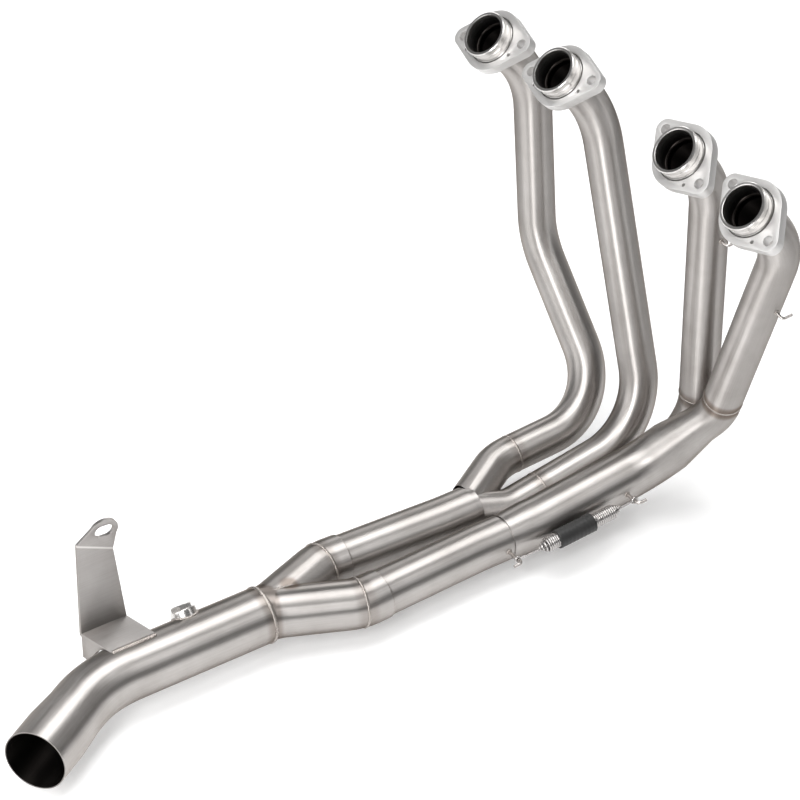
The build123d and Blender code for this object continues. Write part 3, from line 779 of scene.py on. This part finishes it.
head_top = BOSS_HEIGHT + HEAD_HEIGHT
hexagon = circle_points(0, 0, HEAD_FLAT / cos(radians(30)), steps=6)
head = loose_object("head", slab("head", hexagon, BOSS_HEIGHT, head_top))
stem_ring = circle_points(0, 0, STEM_RADIUS, steps=64)
stem = loose_object("stem", slab("stem", stem_ring, BOSS_HEIGHT - STEM_DEPTH, BOSS_HEIGHT + STEM_ROOT))
chamfer_profile = (
    (0.01, 20.0), (40.0, 20.0), (40.0, 23.6), (9.9, head_top - HEAD_CHAMFER),
    (8.2, head_top), (0.01, head_top),
)
dome = loose_object("dome", lathe("dome", chamfer_profile, steps=96))
for other, operation in ((dome, "INTERSECT"), (stem, "UNION")):
    step = head.modifiers.new("step", "BOOLEAN")
    step.operation = operation
    step.solver = "EXACT"
    step.object = other
mesh = settle(head)
bpy.data.objects.remove(stem)
bpy.data.objects.remove(dome)
turned_piece("hexagon_plug", mesh, boss_place, turned_steel, "boss_steel", "sensor_plug")


# Hanger bracket. One piece of 3 mm stainless sheet, cut with a slot and
# folded, with its foot welded along the top of the link pipe. Its flat faces
# keep the mill finish, and the cut edges are rounded over.
def rounded_copy(node, width, angle):
    shape = bmesh.new()
    shape.from_mesh(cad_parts[node].data)
    bmesh.ops.remove_doubles(shape, verts=shape.verts, dist=0.00001)
    bmesh.ops.dissolve_limit(shape, angle_limit=radians(1.0), verts=shape.verts, edges=shape.edges)
    mesh = bpy.data.meshes.new(node)
    shape.to_mesh(mesh)
    shape.free()
    made = loose_object(node, mesh)
    edge = made.modifiers.new("edge", "BEVEL")
    edge.width = width * MM
    edge.segments = 3
    edge.limit_method = "ANGLE"
    edge.angle_limit = radians(angle)
    return soften(settle(made), 25)


mill_sheet = brushed_finish(
    "mill_sheet", (0.30, 0.285, 0.275), (0.40, 0.385, 0.375),
    rough_low=0.36, rough_high=0.46, along_skin=False,
)
# The crest of the fold under the tab gets a painted highlight: a lighter line along the fold.
FOLD_POINT = mm_point(-18.0, -510.0, -229.0)
FOLD_NORMAL = Vector((0, 15.0, 32.0)).normalized()
CREST_FULL, CREST_END = 0.3, 1.3
tree = mill_sheet.node_tree
shader = tree.nodes["Principled BSDF"]
steel = shader.inputs["Base Color"].links[0].from_socket
off_fold = put(tree, "ShaderNodeVectorMath", {1: FOLD_POINT}, operation="SUBTRACT")
tree.links.new(put(tree, "ShaderNodeTexCoord").outputs["Object"], off_fold.inputs[0])
across_fold = put(tree, "ShaderNodeVectorMath", {1: FOLD_NORMAL}, operation="DOT_PRODUCT")
tree.links.new(off_fold.outputs["Vector"], across_fold.inputs[0])
distance = put(tree, "ShaderNodeMath", operation="ABSOLUTE")
tree.links.new(across_fold.outputs["Value"], distance.inputs[0])
crest = put(tree, "ShaderNodeMapRange",
            {"From Min": CREST_FULL * MM, "From Max": CREST_END * MM, "To Min": 1.0, "To Max": 0.0})
tree.links.new(distance.outputs["Value"], crest.inputs["Value"])
# Painted highlight: the base colour is lightened along the fold's crest.
fold_highlight = covered(tree, steel, crest.outputs["Result"], (0.62, 0.60, 0.585))
tree.links.new(fold_highlight, shader.inputs["Base Color"])
bracket = rounded_copy("hanger_bracket", width=0.5, angle=25.0)
fit_piece("folded_bracket", bracket, mill_sheet, "bracket_steel", "hanger_bracket")


# Spring hooks. Bent 3 mm stainless wire, coped to the tubes and welded on
# either side of each slip joint, with the free end turned away from the pull.
HOOK_WIRE = 3.0
HOOK_BEND = 3.0
HOOK_TIP = 8.0
HOOK_SINK = 0.3
FRONT_HOOK_Y, REAR_HOOK_Y = -24.0, -146.0
SPRING_WIRE = 1.8
SPRING_RADIUS = 6.75
SILICONE_RADIUS = 8.35
SILICONE_STAND = 1.8
EYE_PLAY = 0.4
EYE_RADIUS = HOOK_WIRE / 2 + EYE_PLAY + SPRING_WIRE / 2


def run_axis(start, end, y):
    return start + (end - start) * ((y * MM - start.y) / (end.y - start.y))


def wire_finish(name, dark, light, roughness):
    finish, tree, shader = new_finish(name, 1.0, roughness)
    pattern = put(tree, "ShaderNodeGroup", node_tree=brushing)
    pattern.inputs["Across"].default_value = 2500.0
    pattern.inputs["Along"].default_value = 120.0
    pattern.inputs["Cloud"].default_value = 160.0
    skin = put(tree, "ShaderNodeAttribute", attribute_name="skin")
    tree.links.new(skin.outputs["Vector"], pattern.inputs["Vector"])
    tree.links.new(tinted(tree, pattern.outputs["Cloud"], dark, light), shader.inputs["Base Color"])
    uneven = between(tree, pattern.outputs["Scratches"], roughness - 0.06, roughness + 0.08)
    tree.links.new(uneven, shader.inputs["Roughness"])
    bumped(tree, shader, pattern.outputs["Scratches"], strength=0.15, distance=0.0001)
    return finish


hook_steel = wire_finish("hook_steel", (0.40, 0.37, 0.35), (0.62, 0.59, 0.57), roughness=0.28)


def bent_wire(name, points, wire, node):
    radii = [wire / 2] * len(points)
    bent = sweep(points, (0, HOOK_BEND, 0), radii, hook_steel, capped=True, ring_steps=20, bend_steps=10)
    fit_piece(name, soften(settle(bent), 40), hook_steel, "wire_steel", node)


# Each set runs from a collector's leg to a secondary tube: two points of the leg
# and two of the tube, the radius it stands clear of and that of the leg, the turns
# of the front and the rear hook round their tubes in degrees, and a shift rearward.
spring_sets = {}
hook_feet = {}
for side, heel, level, bend, rear, clear_radius, leg_radius, front_turn, rear_turn, shift in (
    ("right", joint_4, level_3, right_bend, right_rear, BODY_RADIUS, BODY_RADIUS, 1.0, 1.0, 0.0),
    ("left", heel_2, turn_2, left_bend, left_rear, SECONDARY_RADIUS, TUBE_RADIUS, -140.0, -121.0, -54.0),
):
    front_out = Vector((cos(radians(front_turn)), 0, sin(radians(front_turn))))
    rear_out = Vector((cos(radians(rear_turn)), 0, sin(radians(rear_turn))))
    stand = (clear_radius + SILICONE_STAND + SILICONE_RADIUS) * MM
    front_foot = run_axis(heel, level, FRONT_HOOK_Y + shift)
    rear_y = REAR_HOOK_Y + shift
    rear_foot = mm_point(RIGHT_X, rear_y, RUN_Z) if side == "right" else run_axis(bend, rear, rear_y)
    front_eye = front_foot + front_out * stand
    rear_eye = rear_foot + rear_out * stand
    spring_sets[side] = (front_eye, rear_eye, front_out, rear_out, shift)
    pull = (rear_eye - front_eye).normalized()
    for end, foot, eye, out, radius, heading in (
        ("front", front_foot, front_eye, front_out, leg_radius, -pull),
        ("rear", rear_foot, rear_eye, rear_out, SECONDARY_RADIUS, pull),
    ):
        base = foot + out * (radius - HOOK_SINK) * MM
        hook_feet[f"{side}_{end}"] = (foot + out * radius * MM, out, HOOK_WIRE)
        corner = eye + out * (EYE_RADIUS + HOOK_BEND) * MM
        points = (base, corner, corner + heading * HOOK_TIP * MM)
        bent_wire(f"wire_hook_{side}_{end}", points, HOOK_WIRE, f"spring_hook_{side}_{end}")


# Tube hooks. Two short bent wires welded to the outer side of the right-hand
# primaries, for small springs or guards.
TUBE_HOOK_WIRE = 2.5
TUBE_HOOK_REACH = 25.0
TUBE_HOOK_TIP = 10.0
TUBE_HOOK_DROPS = {3: 55.0, 4: 74.0}
for number, bottom in ((3, heel_3), (4, knee_4)):
    along = (bottom - leads[number]).normalized()
    out = (Vector((1, 0, 0)) - along * along.x).normalized()
    across = along.cross(out)
    across = across if across.y > 0 else -across
    middle = leads[number] + along * TUBE_HOOK_DROPS[number] * MM
    corner = middle + out * TUBE_HOOK_REACH * MM
    points = (middle + out * (TUBE_RADIUS - HOOK_SINK) * MM, corner, corner + across * TUBE_HOOK_TIP * MM)
    hook_feet[str(number)] = (middle + out * TUBE_RADIUS * MM, out, TUBE_HOOK_WIRE)
    bent_wire(f"wire_hook_{number}", points, TUBE_HOOK_WIRE, f"tube_hook_{number}")


# Springs. Close-wound 1.8 mm wire with coned ends and a turned eye over each
# hook, pulling the slip joints together.
spring_wire = wire_finish("spring_wire", (0.36, 0.345, 0.335), (0.58, 0.56, 0.55), roughness=0.26)
COIL_RADIUS = SPRING_RADIUS - SPRING_WIRE / 2
TIP_RADIUS = SPRING_WIRE / 2
COIL_STEPS = 22
COIL_PITCH = 1.95
# The ends of the coil's cones and of its body, from the front to the rear.
COIL_PLACES = (-40.0, -48.0, -116.0, -124.0)
CONE_TURNS = 3
EYE_STEPS = 26
EYE_TURN = radians(335)
for side, (front_eye, rear_eye, front_out, rear_out, shift) in spring_sets.items():
    pull = (rear_eye - front_eye).normalized()
    across = pull.cross(front_out).normalized()
    way = across.cross(pull)
    rear_across = pull.cross(rear_out).normalized()
    coil_ends = [run_axis(front_eye, rear_eye, y + shift) for y in COIL_PLACES]
    front_tip, front_full, rear_full, rear_tip = coil_ends
    turns = round((rear_full - front_full).length / MM / COIL_PITCH)
    points = []
    for i in range(EYE_STEPS):
        angle = EYE_TURN * (1 - i / (EYE_STEPS - 1))
        points.append(front_eye + (pull * cos(angle) + across * sin(angle)) * EYE_RADIUS * MM)
    for start, end, count, start_radius, end_radius in (
        (front_tip, front_full, CONE_TURNS, TIP_RADIUS, COIL_RADIUS),
        (front_full, rear_full, turns, COIL_RADIUS, COIL_RADIUS),
        (rear_full, rear_tip, CONE_TURNS, COIL_RADIUS, TIP_RADIUS),
    ):
        steps = count * COIL_STEPS
        for i in range(steps):
            share = i / steps
            angle = 2 * pi * i / COIL_STEPS
            radius = (start_radius + (end_radius - start_radius) * share) * MM
            points.append(start.lerp(end, share) + (way * cos(angle) + across * sin(angle)) * radius)
    for i in range(EYE_STEPS):
        angle = EYE_TURN * i / (EYE_STEPS - 1)
        points.append(rear_eye + (-pull * cos(angle) + rear_across * sin(angle)) * EYE_RADIUS * MM)
    count = len(points)
    radii = [SPRING_WIRE / 2] * count
    wound = sweep(points, [0] * count, radii, spring_wire, capped=True, ring_steps=10, bend_steps=1)
    mesh = soften(settle(wound), 50)
    fit_piece(f"wound_spring_{side}", mesh, spring_wire, "spring_steel", f"spring_{side}")


# Spring sleeves. Black silicone tube pushed over the springs to stop them
# ringing; it shows the turns under it as low ribs.
RIB_PITCH = 3.9
RIB_HEIGHT = 0.06
RIB_ROWS = 96
SILICONE_BORE = 6.85
SILICONE_FRONT_Y, SILICONE_REAR_Y = -69.0, -106.0
sleeve_finish, tree, shader = new_finish("black_silicone", 0.0, 0.5)
pattern = put(tree, "ShaderNodeGroup", node_tree=grain)
pattern.inputs["Speckle"].default_value = 2600.0
pattern.inputs["Cloud"].default_value = 120.0
tree.links.new(put(tree, "ShaderNodeTexCoord").outputs["Object"], pattern.inputs["Vector"])
black = tinted(tree, pattern.outputs["Cloud"], (0.006, 0.006, 0.006), (0.017, 0.0165, 0.016))
tree.links.new(black, shader.inputs["Base Color"])
tree.links.new(between(tree, pattern.outputs["Grain"], 0.42, 0.6), shader.inputs["Roughness"])
bumped(tree, shader, pattern.outputs["Grain"], strength=0.2, distance=0.0002)
for side, (front_eye, rear_eye, front_out, rear_out, shift) in spring_sets.items():
    front = run_axis(front_eye, rear_eye, SILICONE_FRONT_Y + shift)
    rear = run_axis(front_eye, rear_eye, SILICONE_REAR_Y + shift)
    length = (rear - front).length / MM
    profile = [(SILICONE_BORE, 0.4), (7.1, 0.0), (7.9, 0.0)]
    for i in range(RIB_ROWS + 1):
        height = 0.5 + (length - 1.0) * i / RIB_ROWS
        profile.append((SILICONE_RADIUS - RIB_HEIGHT + RIB_HEIGHT * cos(2 * pi * height / RIB_PITCH), height))
    profile += [(7.9, length), (7.1, length), (SILICONE_BORE, length - 0.4)]
    mesh = lathe("silicone", profile, steps=72)
    pull = (rear - front).normalized()
    across = pull.cross(front_out).normalized()
    place = Matrix((across.cross(pull), across, pull)).transposed().to_4x4()
    place.translation = front
    mesh.transform(place @ Matrix.Scale(MM, 4))
    soften(mesh, 40)
    fit_piece(f"silicone_sleeve_{side}", mesh, sleeve_finish, "spring_rubber", f"spring_sleeve_{side}")


# Welds. Every joint is closed by a hand-laid bead of overlapping ripples: round
# the tubes' ends, the formed legs, the link pipe, the boss and the hooks, along
# the bracket's foot and in the crotch of the final collector.
SLEEVE_FOOT = 17.0
SLEEVE_BEAD_RADIUS = 17.6
SLIP_BEAD_RADIUS = 20.75
HOOK_BEAD_MARGIN = 0.5
FOOT_EDGE_X, FOOT_TOP_Z = 16.6, -316.2
FOOT_REAR_Y, FOOT_LENGTH = -502.0, 38.0
FOOT_STEPS = 30
LEG_TURN_Y, LEG_TURN_APART = -288.0, 29.9
CROTCH_FRONT, CROTCH_REAR = -310.0, -356.0
CROTCH_STEPS = 24
# The number sockets of a Random Value node are found by place, like those of a Mix.
RANDOM_MIN, RANDOM_MAX, RANDOM_VALUE = 2, 3, 1


def bead_tree():
    tree, inside, outside = new_group(
        "weld_bead", "GeometryNodeTree",
        [("Path", "NodeSocketGeometry", None), ("Pitch", "NodeSocketFloat", 0.0015),
         ("Width", "NodeSocketFloat", 0.003), ("Height", "NodeSocketFloat", 0.0008),
         ("Seed", "NodeSocketInt", 1), ("Finish", "NodeSocketMaterial", None)],
        [("Bead", "NodeSocketGeometry")],
    )
    link = tree.links.new
    line = put(tree, "GeometryNodeMeshToCurve")
    steps = put(tree, "GeometryNodeResampleCurve", mode="LENGTH")
    outward = put(tree, "GeometryNodeInputNamedAttribute", {"Name": "outward"}, data_type="FLOAT_VECTOR")
    heading = put(tree, "GeometryNodeInputTangent")
    stand = put(tree, "FunctionNodeAxesToRotation", primary_axis="Z", secondary_axis="X")
    half = put(tree, "ShaderNodeMath", {1: 0.5}, operation="MULTIPLY")
    shape = put(tree, "ShaderNodeCombineXYZ")
    uneven = put(tree, "FunctionNodeRandomValue", {RANDOM_MIN: 0.88, RANDOM_MAX: 1.12}, data_type="FLOAT")
    sized = put(tree, "ShaderNodeVectorMath", operation="SCALE")
    ripple = put(tree, "GeometryNodeMeshIcoSphere", {"Radius": 1.0, "Subdivisions": 2})
    laid = put(tree, "GeometryNodeInstanceOnPoints")
    smooth = put(tree, "GeometryNodeSetShadeSmooth")
    real = put(tree, "GeometryNodeRealizeInstances")
    paint = put(tree, "GeometryNodeSetMaterial")
    link(inside.outputs["Path"], line.inputs["Mesh"])
    link(line.outputs["Curve"], steps.inputs["Curve"])
    link(inside.outputs["Pitch"], steps.inputs["Length"])
    link(steps.outputs["Curve"], laid.inputs["Points"])
    link(outward.outputs["Attribute"], stand.inputs["Primary Axis"])
    link(heading.outputs["Tangent"], stand.inputs["Secondary Axis"])
    link(stand.outputs["Rotation"], laid.inputs["Rotation"])
    link(inside.outputs["Width"], half.inputs[0])
    link(inside.outputs["Pitch"], shape.inputs["X"])
    link(half.outputs["Value"], shape.inputs["Y"])
    link(inside.outputs["Height"], shape.inputs["Z"])
    link(inside.outputs["Seed"], uneven.inputs["Seed"])
    link(shape.outputs["Vector"], sized.inputs["Vector"])
    link(uneven.outputs[RANDOM_VALUE], sized.inputs["Scale"])
    link(sized.outputs["Vector"], laid.inputs["Scale"])
    link(ripple.outputs["Mesh"], laid.inputs["Instance"])
    link(laid.outputs["Instances"], smooth.inputs["Geometry"])
    link(smooth.outputs["Geometry"], real.inputs["Geometry"])
    link(real.outputs["Geometry"], paint.inputs["Geometry"])
    link(inside.outputs["Finish"], paint.inputs["Material"])
    link(paint.outputs["Geometry"], outside.inputs["Bead"])
    return tree


weld_bead = bead_tree()
weld_steel = grained_finish(
    "weld_steel", (0.25, 0.22, 0.20), (0.48, 0.45, 0.42),
    metallic=1.0, rough_low=0.27, rough_high=0.40, speckle_scale=900.0,
)


def lay_bead(name, points, outwards, closed, pitch, width, height, seed):
    mesh = bpy.data.meshes.new("path")
    count = len(points)
    edges = [(i, (i + 1) % count) for i in range(count if closed else count - 1)]
    mesh.from_pydata(points, edges, [])
    store_attribute(mesh, "outward", "FLOAT_VECTOR", [v for outward in outwards for v in outward])
    path = loose_object("path", mesh)
    bead = path.modifiers.new("bead", "NODES")
    bead.node_group = weld_bead
    for label, value in (("Pitch", pitch * MM), ("Width", width * MM), ("Height", height * MM)):
        set_input(bead, label, value)
    set_input(bead, "Seed", seed)
    set_input(bead, "Finish", weld_steel)
    fit_piece(name, settle(path), weld_steel, "tube_steel")


def round_bead(name, centre, way, radius, pitch, width, height, seed):
    side = way.orthogonal().normalized()
    other = way.cross(side).normalized()
    outwards = [side * x + other * y for x, y in circle_points(0, 0, 1.0, steps=120)]
    points = [centre + outward * radius * MM for outward in outwards]
    lay_bead(name, points, outwards, True, pitch, width, height, seed)


for seed, (name, point, way) in enumerate((
    ("weld_leg_1", weld_1, weld_1 - heel_1), ("weld_leg_2", weld_2, weld_2 - heel_2),
    ("weld_leg_3", weld_3, weld_3 - heel_3), ("weld_leg_4", weld_4, weld_4 - knee_4),
)):
    round_bead(name, point, way.normalized(), TUBE_RADIUS, pitch=1.2, width=2.2, height=0.4, seed=11 + seed)

for seed, (side, rear, bend) in enumerate((
    ("left", left_rear, left_bend), ("right", right_rear, right_bend),
)):
    slip_end = toward(rear, bend, OVERLAP)
    way = (bend - rear).normalized()
    round_bead(f"weld_secondary_{side}", slip_end, way, SLIP_BEAD_RADIUS, pitch=1.3, width=1.6, height=0.6,
               seed=21 + seed)

# A formed leg is made of two pieces that meet in the middle of its bend.
bend_middles = {}
for seed, (side, (points, bends, radii)) in enumerate(zip(("left", "right"), final_legs[1:])):
    way_in = (points[1] - points[0]).normalized()
    way_out = (points[2] - points[1]).normalized()
    cut_in = bends[1] * MM * (1 / cos(way_in.angle(way_out) / 2) - 1)
    bend_middles[side] = points[1] + (way_out - way_in).normalized() * cut_in
    round_bead(f"weld_bend_{side}", bend_middles[side], (way_in + way_out).normalized(), COLLECTOR_RADIUS,
               pitch=1.3, width=2.6, height=0.7, seed=91 + seed)

round_bead("weld_link", ring, FORWARD, LINK_RADIUS, pitch=1.4, width=3.4, height=0.8, seed=31)
for number in PORTS:
    round_bead(f"weld_sleeve_{number}", port_point(number, SLEEVE_FOOT), PORT_AXIS, SLEEVE_BEAD_RADIUS,
               pitch=1.2, width=1.8, height=0.9, seed=40 + number)

saddle = []
saddle_out = []
for x, y in circle_points(0, 0, BOSS_RADIUS, steps=96):
    saddle.append(boss_place @ Vector((x, y, saddled(y))))
    saddle_out.append((boss_place.to_3x3() @ Vector((x, y, BOSS_RADIUS))).normalized())
lay_bead("weld_boss", saddle, saddle_out, True, pitch=1.2, width=2.4, height=1.0, seed=51)

for seed, (name, (foot, out, wire)) in enumerate(hook_feet.items()):
    round_bead(f"weld_hook_{name}", foot, out, wire / 2 + HOOK_BEAD_MARGIN, pitch=0.9, width=2.0, height=0.9,
               seed=81 + seed)

foot_line = []
for i in range(FOOT_STEPS + 1):
    foot_line.append(mm_point(FOOT_EDGE_X, FOOT_REAR_Y + FOOT_LENGTH * i / FOOT_STEPS, FOOT_TOP_Z))
foot_out = [Vector((0.5, 0, 1)).normalized()] * len(foot_line)
lay_bead("weld_bracket", foot_line, foot_out, False, pitch=1.5, width=4.6, height=1.7, seed=61)

crotch_lines = {}
for name, side in (("top", 1.0), ("under", -1.0)):
    crotch = []
    for i in range(CROTCH_STEPS + 1):
        y = CROTCH_FRONT + (CROTCH_REAR - CROTCH_FRONT) * i / CROTCH_STEPS
        share = (LEG_TURN_Y - y) / (LEG_TURN_Y - OUTLET_TURN_Y)
        apart = LEG_TURN_APART + (OUTLET_SHIFT - LEG_TURN_APART) * share
        rise = sqrt(max(0.0, COLLECTOR_RADIUS ** 2 - apart ** 2))
        crotch.append(mm_point(LINK_X, y, RUN_Z + (LINK_Z - RUN_Z) * share + side * rise))
    crotch_lines[name] = crotch
    crotch_out = [Vector((0, 0, side))] * len(crotch)
    lay_bead(f"weld_crotch_{name}", crotch, crotch_out, False, pitch=1.3, width=3.2, height=0.9, seed=71)

# Heat tint: the steel beside a bead goes straw and brown, and fades out within
# a finger's width. The foot of primary 4 and the crotch are browned most.
HEAT_REACH = 10.0
HEAT_BROWN = (0.46, 0.395, 0.35)
CROTCH_HEAT_RADIUS = 6.0
CROTCH_HOT_STEP = 14
weld_heat, heat_in, heat_out = new_group(
    "weld_heat", "ShaderNodeTree", [("Vector", "NodeSocketVector", None)], [("Heat", "NodeSocketFloat")])
hottest = None
for place, radius, share in (
    (weld_1, TUBE_RADIUS, 0.35), (weld_2, TUBE_RADIUS, 0.35),
    (weld_3, TUBE_RADIUS, 0.7), (weld_4, TUBE_RADIUS, 0.95),
    (bend_middles["left"], COLLECTOR_RADIUS, 0.35), (bend_middles["right"], COLLECTOR_RADIUS, 0.35),
    (ring, LINK_RADIUS, 0.6), (crotch_lines["top"][CROTCH_HOT_STEP], CROTCH_HEAT_RADIUS, 0.8),
):
    away = put(weld_heat, "ShaderNodeVectorMath", {1: place}, operation="DISTANCE")
    weld_heat.links.new(heat_in.outputs["Vector"], away.inputs[0])
    fade = put(weld_heat, "ShaderNodeMapRange", {
        "From Min": radius * MM, "From Max": hypot(radius, HEAT_REACH) * MM, "To Min": share, "To Max": 0.0,
    }, interpolation_type="SMOOTHSTEP")
    weld_heat.links.new(away.outputs["Value"], fade.inputs["Value"])
    if hottest is None:
        hottest = fade.outputs["Result"]
    else:
        hotter = put(weld_heat, "ShaderNodeMath", operation="MAXIMUM")
        weld_heat.links.new(hottest, hotter.inputs[0])
        weld_heat.links.new(fade.outputs["Result"], hotter.inputs[1])
        hottest = hotter.outputs["Value"]
weld_heat.links.new(hottest, heat_out.inputs["Heat"])
for finish in (brushed_tube, brushed_collector):
    tree = finish.node_tree
    shader = tree.nodes["Principled BSDF"]
    heat = put(tree, "ShaderNodeGroup", node_tree=weld_heat)
    tree.links.new(put(tree, "ShaderNodeTexCoord").outputs["Object"], heat.inputs["Vector"])
    steel = shader.inputs["Base Color"].links[0].from_socket
    browned = covered(tree, steel, heat.outputs["Heat"], HEAT_BROWN, "MULTIPLY")
    tree.links.new(browned, shader.inputs["Base Color"])


# Stage. A sheet of pale paper under the part, five soft lamps round it, and a
# camera with a long lens at the photograph's viewing angle. The paper glows a
# little where it is seen, also in the metal, and keeps the part's shadow.
FLOOR_REACH = 12.0
FLOOR_GAP = 0.0005
FLOOR_GLOW = 0.2
floor_z = cad_box[0][2] - FLOOR_GAP
floor_corners = [(x * FLOOR_REACH, y * FLOOR_REACH, floor_z) for x, y in ((-1, -1), (1, -1), (1, 1), (-1, 1))]
floor_mesh = bpy.data.meshes.new("floor")
floor_mesh.from_pydata(floor_corners, [], [(0, 1, 2, 3)])
floor = loose_object("floor", floor_mesh)
floor_finish, tree, shader = new_finish("floor_paper", metallic=0.0, roughness=0.9)
shader.inputs["Base Color"].default_value = (0.85, 0.85, 0.85, 1)
path = put(tree, "ShaderNodeLightPath")
seen = put(tree, "ShaderNodeMath", operation="MAXIMUM")
tree.links.new(path.outputs["Is Camera Ray"], seen.inputs[0])
tree.links.new(path.outputs["Is Glossy Ray"], seen.inputs[1])
seen_through = put(tree, "ShaderNodeMath", operation="MAXIMUM")
tree.links.new(seen.outputs["Value"], seen_through.inputs[0])
tree.links.new(path.outputs["Is Transmission Ray"], seen_through.inputs[1])
glow = put(tree, "ShaderNodeMath", {1: FLOOR_GLOW}, operation="MULTIPLY")
tree.links.new(seen_through.outputs["Value"], glow.inputs[0])
shader.inputs["Emission Color"].default_value = (1, 1, 1, 1)
tree.links.new(glow.outputs["Value"], shader.inputs["Emission Strength"])
floor_mesh.materials.append(floor_finish)

world = bpy.data.worlds.new("studio")
world.use_nodes = True
bpy.context.scene.world = world
room = world.node_tree.nodes["Background"]
room.inputs["Color"].default_value = (0.8, 0.8, 0.8, 1)
room.inputs["Strength"].default_value = 0.18


def softbox(name, place, aim, width, height, power):
    lamp = bpy.data.lights.new(name, "AREA")
    lamp.shape = "RECTANGLE"
    lamp.size = width
    lamp.size_y = height
    lamp.energy = power
    made = bpy.data.objects.new(name, lamp)
    made.location = place
    made.visible_camera = False
    made.rotation_euler = (Vector(aim) - Vector(place)).to_track_quat("-Z", "Y").to_euler()
    bpy.context.scene.collection.objects.link(made)


softbox("key", (1.05, -1.6, 0.75), (0, -0.15, -0.15), width=0.55, height=1.3, power=30.0)
softbox("top", (0.0, -0.15, 1.6), (0.05, -0.25, -0.3), width=1.1, height=1.8, power=36.0)
softbox("side", (1.2, 0.75, 0.9), (0.05, -0.25, -0.3), width=0.3, height=1.2, power=3.0)
softbox("left", (-0.35, -2.0, 0.5), (0, -0.15, -0.2), width=1.5, height=1.4, power=18.0)
softbox("back", (-1.5, 1.1, 0.55), (0, -0.2, -0.25), width=1.6, height=0.9, power=13.0)

camera_data = bpy.data.cameras.new("photo_camera")
camera_data.lens = 135.0
camera_data.sensor_width = 36.0
camera_data.clip_end = 50.0
camera = bpy.data.objects.new("photo_camera", camera_data)
bpy.context.scene.collection.objects.link(camera)
CAMERA_PLACE = Vector((1.6568, -1.3539, 1.2127))
CAMERA_RIGHT = Vector((0.5664, 0.8241, 0.0))
CAMERA_UP = Vector((-0.4727, 0.3249, 0.8192))
CAMERA_BACK = Vector((0.6751, -0.4640, 0.5736))
camera_turn = Matrix((CAMERA_RIGHT, CAMERA_UP, CAMERA_BACK)).transposed().to_4x4()
camera.matrix_world = Matrix.Translation(CAMERA_PLACE) @ camera_turn
bpy.context.scene.camera = camera
bpy.context.scene.view_settings.view_transform = "Standard"
